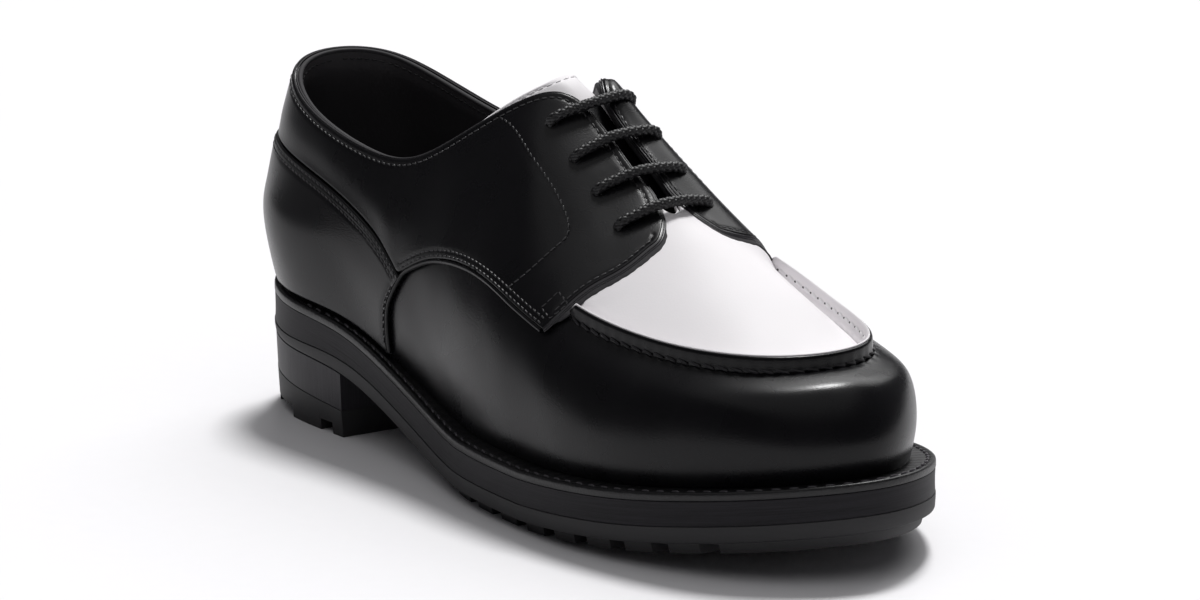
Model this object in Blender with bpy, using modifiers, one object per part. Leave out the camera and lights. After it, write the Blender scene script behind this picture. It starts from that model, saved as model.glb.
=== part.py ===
"""Apron derby shoe for the right foot, standing empty on its sole.

Sizes in this script are millimetres and become metres when a mesh is made.
X runs from heel to toe, Y from the outer (lateral) side to the inner (medial) side, Z is up.
"""
import math

import bmesh
import bpy
import numpy as np
from mathutils import Matrix

MM = 0.001

# Driving sizes
SOLE_LENGTH = 290.0
WALL = 2.4               # upper leather with its lining
CLEAR = 0.35             # gap kept between pieces that touch on the real shoe
OVERLAY_CLEAR = 0.52
TONGUE_CLEAR = 0.9
WELT_THICK = 4.2
MIDSOLE_THICK = 6.0
OUTSOLE_THICK = 5.1
LUG_DEPTH = 3.5
INSOLE_THICK = 5.5
HEEL_BREAST_X = 65.0
HEEL_TAPER = 1.6         # how much smaller the heel is at the floor
TOP_PIECE_BACK = 12.6
TOP_PIECE_FRONT = 8.4
OVERLAY_THICK = 1.3
OVERLAY_SINK = 1.2       # how far the upper is set in under the pieces laid on it
SEAM_HEIGHT = 4.4        # how far the apron's raised seam stands up
LACE_RADIUS = 1.6

# Sections round the shoe, one row for each, from the middle of the heel's back to the toe tip.
# Lateral sections count 0 to 12, and medial ones go on from the toe, 12 to 24.
SECTION_COUNT = 24
LINES = 3                # lines that the solids have for each section
# sole edge seen from above: x, lateral y, medial y, and the width of welt that shows
SOLE_EDGE = (
    (0.0, 0.0, 0.0, 2.5),
    (8.5, -21.5, 22.0, 2.5),
    (33.0, -34.8, 34.6, 3.0),
    (65.0, -36.8, 34.0, 4.0),
    (95.0, -38.6, 30.2, 5.0),
    (122.0, -43.2, 29.2, 6.0),
    (150.0, -50.3, 34.6, 7.0),
    (178.0, -54.0, 44.3, 7.5),
    (205.0, -54.8, 51.4, 7.5),
    (231.0, -51.0, 51.9, 7.5),
    (255.5, -42.0, 43.7, 7.5),
    (277.5, -26.0, 27.8, 7.5),
    (290.0, 1.5, 1.5, 7.5),
)
# side of the upper: how far it swells past its seat, how high, how round it is above that,
# and the lowest of its six levels that a laid-on piece covers
SIDE = (
    (4.4, 18.0, 0.6, 1),
    (5.0, 18.0, 0.8, 1),
    (4.4, 17.0, 1.0, 1),
    (2.5, 16.0, 1.2, 1),
    (2.0, 15.0, 1.5, 2),
    (2.0, 15.0, 1.8, 3),
    (2.0, 14.0, 2.2, 3),
    (2.0, 13.0, 3.0, 3),
    (2.0, 13.0, 3.5, 4),
    (2.0, 12.0, 4.0, 4),
    (2.0, 12.0, 4.8, 4),
    (1.8, 11.0, 5.4, 4),
    (1.5, 11.0, 5.5, 4),
)
# shoulder line, which is the apron's edge in front: x, lateral y, medial y, lateral z, medial z,
# and how far the top swells above the straight line from the shoulder to the rim
SHOULDER = (
    (1.0, 0.0, 0.0, 80.0, 80.0, 0.3),
    (8.5, -21.5, 21.5, 80.0, 80.5, 0.4),
    (32.0, -31.0, 30.5, 77.0, 78.0, 0.6),
    (64.0, -33.0, 30.5, 72.0, 74.0, 0.6),
    (92.0, -33.5, 29.5, 70.5, 73.5, 0.8),
    (117.0, -33.0, 29.5, 74.0, 77.0, 1.5),
    (142.0, -34.0, 31.5, 75.0, 78.0, 3.0),
    (165.0, -35.5, 35.0, 69.5, 73.0, 3.5),
    (190.0, -35.5, 37.7, 61.5, 65.5, 1.0),
    (217.0, -32.5, 35.5, 58.2, 60.6, 0.2),
    (240.0, -26.2, 29.8, 57.3, 58.5, 0.3),
    (256.2, -14.6, 20.7, 57.2, 57.5, 0.3),
    (262.4, 3.5, 3.5, 57.4, 57.4, 0.3),
)
# rim of the opening, along the collar, the facings and the lacing slit: x, y, y, z, z
RIM = (
    (6.5, 0.5, 0.5, 105.6, 105.6),
    (12.5, -17.0, 17.5, 103.0, 103.4),
    (33.0, -25.5, 24.5, 95.0, 98.0),
    (64.0, -27.0, 25.0, 89.0, 93.0),
    (88.0, -25.0, 26.0, 89.8, 93.0),
    (108.0, -18.5, 27.0, 101.0, 103.0),
    (127.0, -4.0, 18.0, 114.0, 115.2),
    (141.0, 3.5, 10.5, 109.2, 110.0),
    (160.0, 3.6, 10.4, 97.6, 98.1),
    (172.0, 3.8, 10.2, 90.4, 90.6),
    (177.0, 4.8, 9.2, 87.6, 87.7),
    (178.4, 6.0, 8.0, 87.0, 87.0),
    (178.6, 7.0, 7.0, 86.9, 86.9),
)
# places of the six levels of a section, from the sole to the rim
LEVELS = (0.0, 0.16, 0.36, 0.56, 0.78, 1.0)
# levels of the upper's own lines, closer together where it turns over the shoulder
WALL_ROWS = (0.0, 0.06, 0.12, 0.18, 0.26, 0.34, 0.42, 0.49, 0.56, 0.64, 0.75, 0.87, 1.0)
# height of the midsole's top along the shoe: x, z
SEAT_HEIGHT = (
    (-5.0, 36.1),
    (35.0, 33.4),
    (65.0, 31.1),
    (95.0, 23.5),
    (121.0, 17.2),
    (150.0, 14.4),
    (181.0, 14.4),
    (206.0, 15.9),
    (231.0, 18.0),
    (256.0, 21.2),
    (292.0, 26.4),
)
SEAT_FLAT = MIDSOLE_THICK + OUTSOLE_THICK + LUG_DEPTH
# lines drawn on the upper: section number, level
COUNTER_TOP = ((0.0, 0.665), (1.0, 0.66), (2.0, 0.645), (2.65, 0.63), (3.17, 0.566), (3.6, 0.488),
               (4.2, 0.345))
COUNTER_FRONT = 3.95
QUARTER_ARCH = ((4.1, 0.36), (4.6, 0.436), (5.05, 0.463), (5.9, 0.47), (6.7, 0.462), (7.54, 0.458))
QUARTER_FRONT = ((7.54, 0.458), (7.83, 0.59), (8.37, 0.725), (9.08, 0.85), (9.43, 0.90), (9.7, 0.98))
QUARTER_CORNER = 7.54
QUARTER_END = 9.7
APRON_START = 7.86
APRON_SEAM = (0.535, 0.57)
BACK_STRIP_HALF = 0.35
LINE_GAP = 0.008         # share of a level kept between neighbouring overlays
# lace holes on each facing: section number, level
LACE_HOLES = ((6.39, 0.892), (7.075, 0.86), (7.65, 0.846), (8.25, 0.83))
# tongue: widest share of a section that it covers, and how far it shows above the facings
TONGUE_LEVEL = 0.82
TONGUE_THICK = 2.0
TONGUE_SHOWS = 4.0
TONGUE_ABOVE = 0.08      # share of a section by which it passes the facings' top line
TONGUE_SLIT = 0.35       # middle part of its width that lies in the lacing slit
# lug pattern
LUG_PITCH = 15.0
LUG_GROOVE = 5.5
LUG_START = 124.0
HEEL_NOTCHES = ((25.0, 20.0), (56.0, 6.5))   # middle x, length
HEEL_NOTCH_REACH = 22.0


def natural_weights(knots, v):
    """Share of each knot's value in a smooth open curve at place v."""
    k = np.asarray(knots, float)
    n = len(k)
    h = np.diff(k)
    left = np.eye(n)
    right = np.zeros((n, n))
    for i in range(1, n - 1):
        left[i, i - 1:i + 2] = h[i - 1], 2 * (h[i - 1] + h[i]), h[i]
        right[i, i - 1] = 6 / h[i - 1]
        right[i, i] = -6 / h[i - 1] - 6 / h[i]
        right[i, i + 1] = 6 / h[i]
    bend = np.linalg.solve(left, right)
    i = min(max(int(np.searchsorted(k, v)) - 1, 0), n - 2)
    a = (k[i + 1] - v) / h[i]
    b = 1 - a
    share = np.zeros(n)
    share[i] = a
    share[i + 1] = b
    return share + ((a ** 3 - a) * bend[i] + (b ** 3 - b) * bend[i + 1]) * h[i] ** 2 / 6


def along(rows, x):
    """Value of the second column of a two-column table at x."""
    places = [row[0] for row in rows]
    values = np.array([row[1] for row in rows])
    return float(natural_weights(places, x) @ values)


def closed_knots(points):
    """Control points of a smooth closed curve that passes through the given points."""
    points = np.asarray(points, float)
    one = np.eye(len(points))
    blend = (4 * one + np.roll(one, 1, axis=0) + np.roll(one, -1, axis=0)) / 6
    return np.linalg.solve(blend, points.reshape(len(points), -1)).reshape(points.shape)


def closed_at(knots, u):
    """Point of a closed curve at section number u, which need not be whole."""
    i = math.floor(u)
    t = u - i
    shares = ((1 - t) ** 3 / 6, (3 * t ** 3 - 6 * t ** 2 + 4) / 6,
              (-3 * t ** 3 + 3 * t ** 2 + 3 * t + 1) / 6, t ** 3 / 6)
    return sum(s * knots[(i - 1 + k) % len(knots)] for k, s in enumerate(shares))


def both_sides(table, lateral, medial):
    """Rows of a table for the lateral sections, then for the medial ones from the toe back."""
    rows = [[row[c] for c in lateral] for row in table]
    return rows + [[row[c] for c in medial] for row in table[-2:0:-1]]


EDGE = closed_knots(both_sides(SOLE_EDGE, (0, 1), (0, 2)))
SHOW = closed_knots(both_sides(SOLE_EDGE, (3,), (3,)))


def seat_height(x):
    """Height of the midsole's top, level where the forefoot rests on the floor."""
    return max(SEAT_FLAT, along(SEAT_HEIGHT, x))


def edge_point(u, inset=0.0):
    """Point of the sole's edge from above, moved inwards by inset."""
    step = 0.01
    ahead = closed_at(EDGE, u + step)
    behind = closed_at(EDGE, u - step)
    tangent = (ahead - behind) / np.linalg.norm(ahead - behind)
    return closed_at(EDGE, u) - inset * np.array((tangent[1], -tangent[0]))


def feather(u, inset=0.0):
    """Line where the upper meets the welt, from above, moved inwards by inset."""
    return edge_point(u, float(closed_at(SHOW, u)[0]) + inset)


def section_levels():
    """The six points of every section: seat, swell, upper side, shoulder, top and rim."""
    side = both_sides(SIDE, (0, 1, 2), (0, 1, 2))
    shoulder = both_sides(SHOULDER, (0, 1, 3, 5), (0, 2, 4, 5))
    rim = both_sides(RIM, (0, 1, 3), (0, 2, 4))
    sections = []
    for u in range(SECTION_COUNT):
        swell, swell_up, roundness = side[u]
        foot = feather(u)
        out = feather(u, -1.0) - foot
        base = seat_height(foot[0]) + WELT_THICK + CLEAR
        seat = np.array((*foot, base))
        wide = np.array((*(foot + swell * out), base + swell_up))
        top_edge = np.array(rim[u])
        shoulder_point = np.array(shoulder[u][:3])
        chord = shoulder_point - wide
        away = np.array((*out, 0.0))
        away = away - chord * (away @ chord) / (chord @ chord)
        upper_side = wide + 0.52 * chord + roundness * away / np.linalg.norm(away)
        top = (shoulder_point + top_edge) / 2 + np.array((0.0, 0.0, shoulder[u][3]))
        sections.append((seat, wide, upper_side, shoulder_point, top, top_edge))
    return np.array(sections)


def surface_point(knots, u, v, lift):
    """Point of a face of closed sections at section u and level v, lifted off along its normal."""
    def face(a, b):
        return natural_weights(LEVELS, b) @ closed_at(knots, a)
    point = face(u, v)
    if lift == 0.0:
        return point
    across = face(u + 0.02, v) - face(u - 0.02, v)
    normal = np.cross(across, face(u, v + 0.004) - face(u, v - 0.004))
    return point + lift * normal / np.linalg.norm(normal)


def sunk_levels():
    """The sections again, set in where a piece laid on the upper makes up the thickness."""
    outer = closed_knots(section_levels())
    lowest = both_sides(SIDE, (3,), (3,))
    return np.array([
        [surface_point(outer, u, v, -OVERLAY_SINK if k >= lowest[u][0] else 0.0)
         for k, v in enumerate(LEVELS)]
        for u in range(SECTION_COUNT)])


UPPER = closed_knots(sunk_levels())


def upper_point(u, v, lift=0.0):
    """Point of the upper's outer face at section u and level v, lifted off along its normal."""
    return surface_point(UPPER, u, v, lift)


def frame_origin():
    """Middle of the shoe's box from above."""
    marks = [edge_point(u) for u in np.arange(0, SECTION_COUNT, 0.1)]
    proud = OVERLAY_CLEAR + OVERLAY_THICK
    marks += [upper_point(u, v, proud)[:2] for u in np.arange(-2, 2, 0.1) for v in (0.12, 0.16, 0.2, 0.24)]
    marks = np.array(marks)
    return (marks.min(axis=0) + marks.max(axis=0)) / 2


ORIGIN = frame_origin()


def world(point):
    """Metres in the part's frame, from millimetres in the shoe's."""
    return ((point[0] - ORIGIN[0]) * MM, (point[1] - ORIGIN[1]) * MM, point[2] * MM)


def clear_scene():
    for item in list(bpy.data.objects):
        bpy.data.objects.remove(item, do_unlink=True)


def collection(name):
    made = bpy.data.collections.new(name)
    bpy.context.scene.collection.children.link(made)
    return made


def material(name, colour, roughness):
    made = bpy.data.materials.new(name)
    made.use_nodes = True
    shader = made.node_tree.nodes["Principled BSDF"]
    shader.inputs["Base Color"].default_value = (*colour, 1.0)
    shader.inputs["Roughness"].default_value = roughness
    shader.inputs["Metallic"].default_value = 0.0
    return made


def add_object(name, shape, group, finish=None):
    """Object made from a bmesh."""
    mesh = bpy.data.meshes.new(name)
    shape.to_mesh(mesh)
    shape.free()
    made = bpy.data.objects.new(name, mesh)
    group.objects.link(made)
    if finish:
        mesh.materials.append(finish)
    return made


def loft(sections, ring=False):
    """Bmesh skinned over sections of equal point count, closed into a ring or capped."""
    shape = bmesh.new()
    loops = [[shape.verts.new(world(p)) for p in section] for section in sections]
    count = len(loops[0])
    pairs = list(zip(loops, loops[1:]))
    if ring:
        pairs.append((loops[-1], loops[0]))
    for one, two in pairs:
        for k in range(count):
            shape.faces.new((one[k], one[(k + 1) % count], two[(k + 1) % count], two[k]))
    if not ring:
        shape.faces.new(loops[0])
        shape.faces.new(loops[-1])
    bmesh.ops.recalc_face_normals(shape, faces=shape.faces)
    return shape


def face_patch(us, level_low, level_high, shares, lift):
    """Sheet on the upper between two level lines, as a grid laid on the upper's own face."""
    shape = bmesh.new()
    rows = len(shares) - 1
    bmesh.ops.create_grid(shape, x_segments=len(us) - 1, y_segments=rows, size=1.0)
    for vert in shape.verts:
        u = us[round((vert.co.x + 1) / 2 * (len(us) - 1))]
        share = shares[round((vert.co.y + 1) / 2 * rows)]
        v = level_low(u) + share * (level_high(u) - level_low(u))
        vert.co = world(upper_point(u, v, lift))
    return shape


def thicken(item, thickness, offset):
    """Give a sheet its thickness, outwards (1) or inwards (-1)."""
    solid = item.modifiers.new("thickness", "SOLIDIFY")
    solid.thickness = thickness * MM
    solid.offset = offset


def cut(item, cutter):
    """Take a cutter's form out of an item."""
    cutter.hide_render = True
    cutter.display_type = "WIRE"
    hole = item.modifiers.new("cut " + cutter.name, "BOOLEAN")
    hole.operation = "DIFFERENCE"
    hole.solver = "EXACT"
    hole.object = cutter


def spread(start, end, count):
    return [start + (end - start) * k / (count - 1) for k in range(count)]


def section_lines(start, end):
    """The upper's own section lines between two sections, and those two."""
    inner = [k / LINES for k in range(math.ceil(start * LINES), math.floor(end * LINES) + 1)]
    inner = [u for u in inner if start + 0.12 < u < end - 0.12]
    return [start, *inner, end]


def section_at_x(x, side):
    """Section number where the sole's edge passes x, on the lateral (1) or medial (-1) side."""
    low, high = 1.0, 11.0
    for _ in range(40):
        middle = (low + high) / 2
        if edge_point(side * middle)[0] < x:
            low = middle
        else:
            high = middle
    return side * low


def sole_plate(us, bottom, top, inset_bottom, inset_top):
    """Closed layer of the sole: pairs of edge points across, with its own bottom and top heights."""
    sections = []
    for lateral, medial in us:
        low = edge_point(lateral, inset_bottom), edge_point(medial, inset_bottom)
        high = edge_point(lateral, inset_top), edge_point(medial, inset_top)
        sections.append([
            (*low[0], bottom(low[0][0])), (*low[1], bottom(low[1][0])),
            (*high[1], top(high[1][0])), (*high[0], top(high[0][0])),
        ])
    return loft(sections)


def whole_sole(count):
    """Section pairs from heel to toe."""
    return [(u, -u) for u in spread(0.06, 11.94, count)]


def build_sole(parts):
    leather = material("sole_leather", (0.045, 0.043, 0.048), 0.5)
    rubber = material("sole_rubber", (0.014, 0.014, 0.015), 0.75)
    welt_leather = material("welt_leather", (0.012, 0.012, 0.013), 0.45)
    board = material("insole_leather", (0.03, 0.027, 0.025), 0.6)

    add_object("midsole", sole_plate(
        whole_sole(44),
        lambda x: seat_height(x) - MIDSOLE_THICK + CLEAR / 2,
        lambda x: seat_height(x) - CLEAR / 2, 0.4, 0.2), parts, leather)

    def outsole_top(x):
        return seat_height(x) - MIDSOLE_THICK - CLEAR / 2

    def outsole_bottom(x):
        return seat_height(x) - MIDSOLE_THICK - OUTSOLE_THICK

    outsole = add_object("outsole", sole_plate(
        whole_sole(44), outsole_bottom, outsole_top, 0.2, 0.0), parts, rubber)

    ring = []
    for u in spread(0, SECTION_COUNT, SECTION_COUNT * LINES + 1)[:-1]:
        outer = edge_point(u, 0.9)
        edge = edge_point(u, 0.1)
        inner = feather(u, WALL + 0.8)
        ring.append([
            (*edge, seat_height(edge[0]) + CLEAR / 2),
            (*edge, seat_height(edge[0]) + WELT_THICK - 1.4),
            (*outer, seat_height(outer[0]) + WELT_THICK),
            (*inner, seat_height(inner[0]) + WELT_THICK),
            (*inner, seat_height(inner[0]) + CLEAR / 2),
        ])
    add_object("welt", loft(ring, ring=True), parts, welt_leather)

    sections = []
    for u in spread(0.12, 11.88, 34):
        lateral = feather(u, WALL + 1.15)
        medial = feather(-u, WALL + 1.15)
        sections.append([
            (*lateral, seat_height(lateral[0]) + CLEAR / 2),
            (*medial, seat_height(medial[0]) + CLEAR / 2),
            (*medial, seat_height(medial[0]) + INSOLE_THICK),
            (*lateral, seat_height(lateral[0]) + INSOLE_THICK),
        ])
    add_object("insole", loft(sections), parts, board)
    return outsole, outsole_bottom, rubber, leather


def box_cutter(name, boxes, group):
    """One cutter made of boxes, each given by its middle and its size."""
    shape = bmesh.new()
    for middle, size in boxes:
        turn = Matrix.Translation(world(middle)) @ Matrix.Diagonal((*(s * MM for s in size), 1.0))
        bmesh.ops.create_cube(shape, size=1.0, matrix=turn)
    return add_object(name, shape, group)


def build_lugs(cutters, outsole, outsole_bottom):
    """Lug slab under the forefoot, cut into lugs by grooves."""
    start = section_at_x(LUG_START, 1)
    pairs = [(u, -u) for u in spread(start, 11.75, 34)]
    slab = add_object("forefoot_lugs", sole_plate(
        pairs, lambda x: outsole_bottom(x) - LUG_DEPTH,
        lambda x: outsole_bottom(x) + 1.5, 4.0, 3.0), cutters)
    slab.hide_render = True
    slab.display_type = "WIRE"
    join = outsole.modifiers.new("lugs", "BOOLEAN")
    join.operation = "UNION"
    join.solver = "EXACT"
    join.object = slab
    grooves = []
    for k in range(9):
        x = LUG_START + LUG_PITCH * (k + 0.9)
        lateral = edge_point(section_at_x(x, 1))[1]
        medial = edge_point(section_at_x(x, -1))[1]
        reach = 0.24 * (medial - lateral)
        middle = (medial + lateral) / 2
        top = outsole_bottom(x) - 0.4
        deep = 12.0
        grooves.append(((x, lateral + reach / 2, top - deep / 2), (LUG_GROOVE, reach, deep)))
        grooves.append(((x, medial - reach / 2, top - deep / 2), (LUG_GROOVE, reach, deep)))
        if k < 8:
            half_on = x + LUG_PITCH / 2
            top = outsole_bottom(half_on) - 0.4
            grooves.append(((half_on, middle, top - deep / 2), (LUG_GROOVE, 1.1 * reach, deep)))
    cut(outsole, box_cutter("forefoot_grooves", grooves, cutters))


def heel_pairs(count):
    end_lateral = section_at_x(HEEL_BREAST_X, 1)
    end_medial = section_at_x(HEEL_BREAST_X, -1)
    return [(0.06 + (end_lateral - 0.06) * t, -0.06 + (end_medial + 0.06) * t)
            for t in spread(0.0, 1.0, count)]


def build_heel(parts, cutters, outsole_bottom, rubber, leather):
    def joint(x):
        share = x / HEEL_BREAST_X
        return TOP_PIECE_BACK + (TOP_PIECE_FRONT - TOP_PIECE_BACK) * share
    add_object("heel_lift", sole_plate(
        heel_pairs(22), lambda x: joint(x) + CLEAR / 2,
        lambda x: outsole_bottom(x) - CLEAR, 1.0, 0.3), parts, leather)
    top_piece = add_object("heel_top_piece", sole_plate(
        heel_pairs(22), lambda x: 0.0, lambda x: joint(x) - CLEAR / 2,
        HEEL_TAPER, 0.9), parts, rubber)
    notches = []
    for x, length in HEEL_NOTCHES:
        for side in (1, -1):
            y = edge_point(section_at_x(x, side))[1]
            notches.append(((x, y, 0.0), (length, HEEL_NOTCH_REACH, 2 * LUG_DEPTH)))
    notches.append(((HEEL_BREAST_X / 2, 0.0, 0.0), (LUG_GROOVE, 24.0, 2 * LUG_DEPTH)))
    cut(top_piece, box_cutter("heel_notches", notches, cutters))


def counter_top(u):
    """Level of the counter's top edge."""
    return along(COUNTER_TOP, min(abs(u), 4.2))


def quarter_low(u):
    """Level of the quarter's lower edge: over the counter, over the vamp wing, then to the throat."""
    u = abs(u)
    if u < 4.12:
        return counter_top(u)
    if u < QUARTER_CORNER:
        return along(QUARTER_ARCH, u)
    return along(QUARTER_FRONT, min(u, QUARTER_END))


def apron_high(u):
    """Level where the apron stops, at the quarters or at the throat."""
    u = min(u, SECTION_COUNT - u)
    return quarter_low(u) - LINE_GAP if u < QUARTER_END else 1.0 - LINE_GAP


def overlay(name, us, low, high, rows, group, finish, thickness=OVERLAY_THICK):
    """Leather piece laid on the upper between two level lines."""
    made = add_object(name, face_patch(us, low, high, spread(0.0, 1.0, rows + 1), OVERLAY_CLEAR), group, finish)
    thicken(made, thickness, 1)
    return made


def build_upper(parts, black, white):
    us = spread(0.0, SECTION_COUNT, SECTION_COUNT * LINES + 1)
    shape = face_patch(us, lambda u: 0.0, lambda u: 1.0, WALL_ROWS, 0.0)
    bmesh.ops.remove_doubles(shape, verts=shape.verts, dist=0.00005)
    upper = add_object("upper", shape, parts, black)
    thicken(upper, WALL, -1)

    overlay("counter", section_lines(-COUNTER_FRONT, COUNTER_FRONT), lambda u: 0.01,
            lambda u: counter_top(u) - LINE_GAP, 7, parts, black)
    overlay("back_strip", section_lines(-BACK_STRIP_HALF, BACK_STRIP_HALF),
            lambda u: counter_top(u) + LINE_GAP, lambda u: 1.0, 4, parts, black)
    ends = BACK_STRIP_HALF + 0.05, QUARTER_END - 0.05
    for name, us in (("quarter_lateral", section_lines(*ends)),
                     ("quarter_medial", section_lines(-ends[1], -ends[0]))):
        overlay(name, us, lambda u: quarter_low(u) + LINE_GAP, lambda u: 1.0, 8, parts, black)
    toe = section_lines(APRON_START, SECTION_COUNT - APRON_START)
    overlay("apron", toe, lambda u: APRON_SEAM[1] + 2.5 * LINE_GAP, apron_high, 7, parts, white)
    sections = []
    for u in toe:
        outer = upper_point(u, APRON_SEAM[0], OVERLAY_CLEAR)
        inner = upper_point(u, APRON_SEAM[1], OVERLAY_CLEAR)
        stand = np.array((0.0, 0.0, SEAM_HEIGHT))
        sections.append([outer, inner, inner + stand, (outer + inner) / 2 + stand])
    add_object("apron_seam", loft(sections), parts, black)


def tongue_point(along_it, across):
    """Point on the tongue's top, from its front under the vamp (0) to the facings' top (1)."""
    depth = -(WALL + TONGUE_CLEAR)
    reach = abs(across)
    side = 1 if across < 0 else -1
    fan = 0.16
    if along_it < fan:
        share = along_it / fan
        u = 12.0 - (2.1 + 0.4 * share) * reach
        start = 0.92 + 0.05 * share
        return upper_point(side * u, start + (TONGUE_LEVEL - start) * reach, depth)
    share = (along_it - fan) / (1 - fan)
    u = 9.4 + (6.0 - 0.5 * reach ** 1.5 - 9.4) * share
    high = 1 + TONGUE_ABOVE * share ** 6
    if reach >= TONGUE_SLIT:
        v = high - (high - TONGUE_LEVEL) * (reach - TONGUE_SLIT) / (1 - TONGUE_SLIT)
        return upper_point(side * u, v, depth)
    lateral = upper_point(u, high, depth)
    medial = upper_point(-u, high, depth)
    place = (across / TONGUE_SLIT + 1) / 2
    arch = 0.8 * share * np.linalg.norm(medial - lateral) * place * (1 - place)
    return lateral + (medial - lateral) * place + np.array((0.0, 0.0, arch))


def build_tongue(parts, white):
    rows, columns = 12, 12
    shape = bmesh.new()
    bmesh.ops.create_grid(shape, x_segments=rows + 1, y_segments=columns, size=1.0)
    for vert in shape.verts:
        row = round((vert.co.x + 1) / 2 * (rows + 1))
        across = vert.co.y
        point = tongue_point(min(row, rows) / rows, across)
        if row > rows:
            ahead = point - tongue_point(1 - 1 / rows, across)
            point = point + TONGUE_SHOWS * ahead / np.linalg.norm(ahead)
        vert.co = world(point)
    thicken(add_object("tongue", shape, parts, white), TONGUE_THICK, 1)


def section_for_x(x, v, u):
    """Section near u where the upper passes x at level v."""
    for _ in range(8):
        here = upper_point(u, v)[0]
        slope = (upper_point(u + 0.02, v)[0] - here) / 0.02
        u += (x - here) / slope
    return u


def build_laces(parts, cord):
    """Straight bars of the lace, lying over the facings from hole to hole."""
    lift = OVERLAY_CLEAR + OVERLAY_THICK + CLEAR + LACE_RADIUS + 0.3
    for number, (u, v) in enumerate(LACE_HOLES, 1):
        x = upper_point(u, v)[0]
        sides = []
        for side in (1, -1):
            levels = spread(v, 0.985, 4)
            sides.append([upper_point(side * section_for_x(x, w, u), w, lift) for w in levels])
        route = sides[0] + sides[1][::-1]
        curve = bpy.data.curves.new("lace_bar_%d" % number, "CURVE")
        curve.dimensions = "3D"
        curve.bevel_depth = LACE_RADIUS * MM
        curve.bevel_resolution = 1
        curve.use_fill_caps = True
        spline = curve.splines.new("POLY")
        spline.points.add(len(route) - 1)
        for point, place in zip(spline.points, route):
            point.co = (*world(place), 1.0)
        curve.materials.append(cord)
        parts.objects.link(bpy.data.objects.new(curve.name, curve))


def main():
    clear_scene()
    parts = collection("derby_shoe")
    cutters = collection("cutters")
    black = material("black_leather", (0.010, 0.010, 0.011), 0.35)
    white = material("white_leather", (0.82, 0.79, 0.81), 0.4)
    cord = material("lace_cord", (0.012, 0.012, 0.013), 0.7)
    outsole, outsole_bottom, rubber, leather = build_sole(parts)
    build_lugs(cutters, outsole, outsole_bottom)
    build_heel(parts, cutters, outsole_bottom, rubber, leather)
    build_upper(parts, black, white)
    build_tongue(parts, white)
    build_laces(parts, cord)


main()
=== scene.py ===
"""Looks of an apron derby shoe for the right foot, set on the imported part.

Sizes are millimetres in the shoe's own frame: x runs from the heel's back to the toe, y from the
outer side to the inner side, z up from the floor. Meshes are metres in the part's frame.
"""
import math

import bmesh
import bpy
import numpy as np
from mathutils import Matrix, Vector
from mathutils.bvhtree import BVHTree
from mathutils.kdtree import KDTree


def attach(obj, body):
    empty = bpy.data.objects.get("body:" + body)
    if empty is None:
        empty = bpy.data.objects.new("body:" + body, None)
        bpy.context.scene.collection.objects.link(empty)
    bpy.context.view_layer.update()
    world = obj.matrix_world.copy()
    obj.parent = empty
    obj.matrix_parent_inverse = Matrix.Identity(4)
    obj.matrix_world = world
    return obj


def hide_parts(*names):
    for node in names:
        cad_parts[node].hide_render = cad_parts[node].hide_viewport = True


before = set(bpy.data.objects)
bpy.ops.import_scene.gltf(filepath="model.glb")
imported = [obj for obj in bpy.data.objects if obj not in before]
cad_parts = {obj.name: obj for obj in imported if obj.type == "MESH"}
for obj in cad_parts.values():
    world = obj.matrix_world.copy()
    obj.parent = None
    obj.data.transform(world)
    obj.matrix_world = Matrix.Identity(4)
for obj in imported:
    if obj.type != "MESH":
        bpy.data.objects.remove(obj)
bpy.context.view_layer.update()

MM = 0.001

# Driving sizes, as in the part
WALL = 2.4
WELT_THICK = 4.2
MIDSOLE_THICK = 6.0
WELT_SEAM = 1.5          # joint of welt and midsole, above the midsole's nominal top
OUTSOLE_THICK = 5.1
LUG_DEPTH = 3.5
INSOLE_THICK = 5.5
HEEL_BREAST_X = 65.0
HEEL_TAPER = 1.6
TOP_PIECE_BACK = 13.4
HEEL_JOINT_DROP = 2.0    # how much thicker the midsole is, and the outsole thinner, at the heel
TOP_PIECE_FRONT = 8.4
OVERLAY_SINK = 1.2
PROUD = 1.82             # outer face of a laid-on piece above the upper's own face
CLEAR = 0.35
SECTION_COUNT = 24
# sole edge from above: x, lateral y, medial y, width of welt that shows
SOLE_EDGE = (
    (0.0, 0.0, 0.0, 2.5),
    (8.5, -21.5, 22.0, 2.5),
    (33.0, -34.8, 34.6, 3.0),
    (65.0, -36.8, 34.0, 4.0),
    (95.0, -38.6, 30.2, 5.0),
    (122.0, -43.2, 29.2, 6.0),
    (150.0, -50.3, 34.6, 7.0),
    (178.0, -54.0, 44.3, 7.5),
    (205.0, -54.8, 51.4, 7.5),
    (231.0, -51.0, 51.9, 7.5),
    (255.5, -42.0, 43.7, 7.5),
    (277.5, -26.0, 27.8, 7.5),
    (290.0, 1.5, 1.5, 7.5),
)
# side of the upper: swell past its seat, its height, roundness above it, lowest covered level
SIDE = (
    (4.4, 18.0, 0.6, 1),
    (5.0, 18.0, 0.8, 1),
    (4.4, 17.0, 1.0, 1),
    (2.5, 16.0, 1.2, 1),
    (2.0, 15.0, 1.5, 2),
    (2.0, 15.0, 1.8, 3),
    (2.0, 14.0, 2.2, 3),
    (2.0, 13.0, 3.0, 3),
    (2.0, 13.0, 3.5, 4),
    (2.0, 12.0, 4.0, 4),
    (2.0, 12.0, 4.8, 4),
    (1.8, 11.0, 5.4, 4),
    (1.5, 11.0, 5.5, 4),
)
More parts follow.
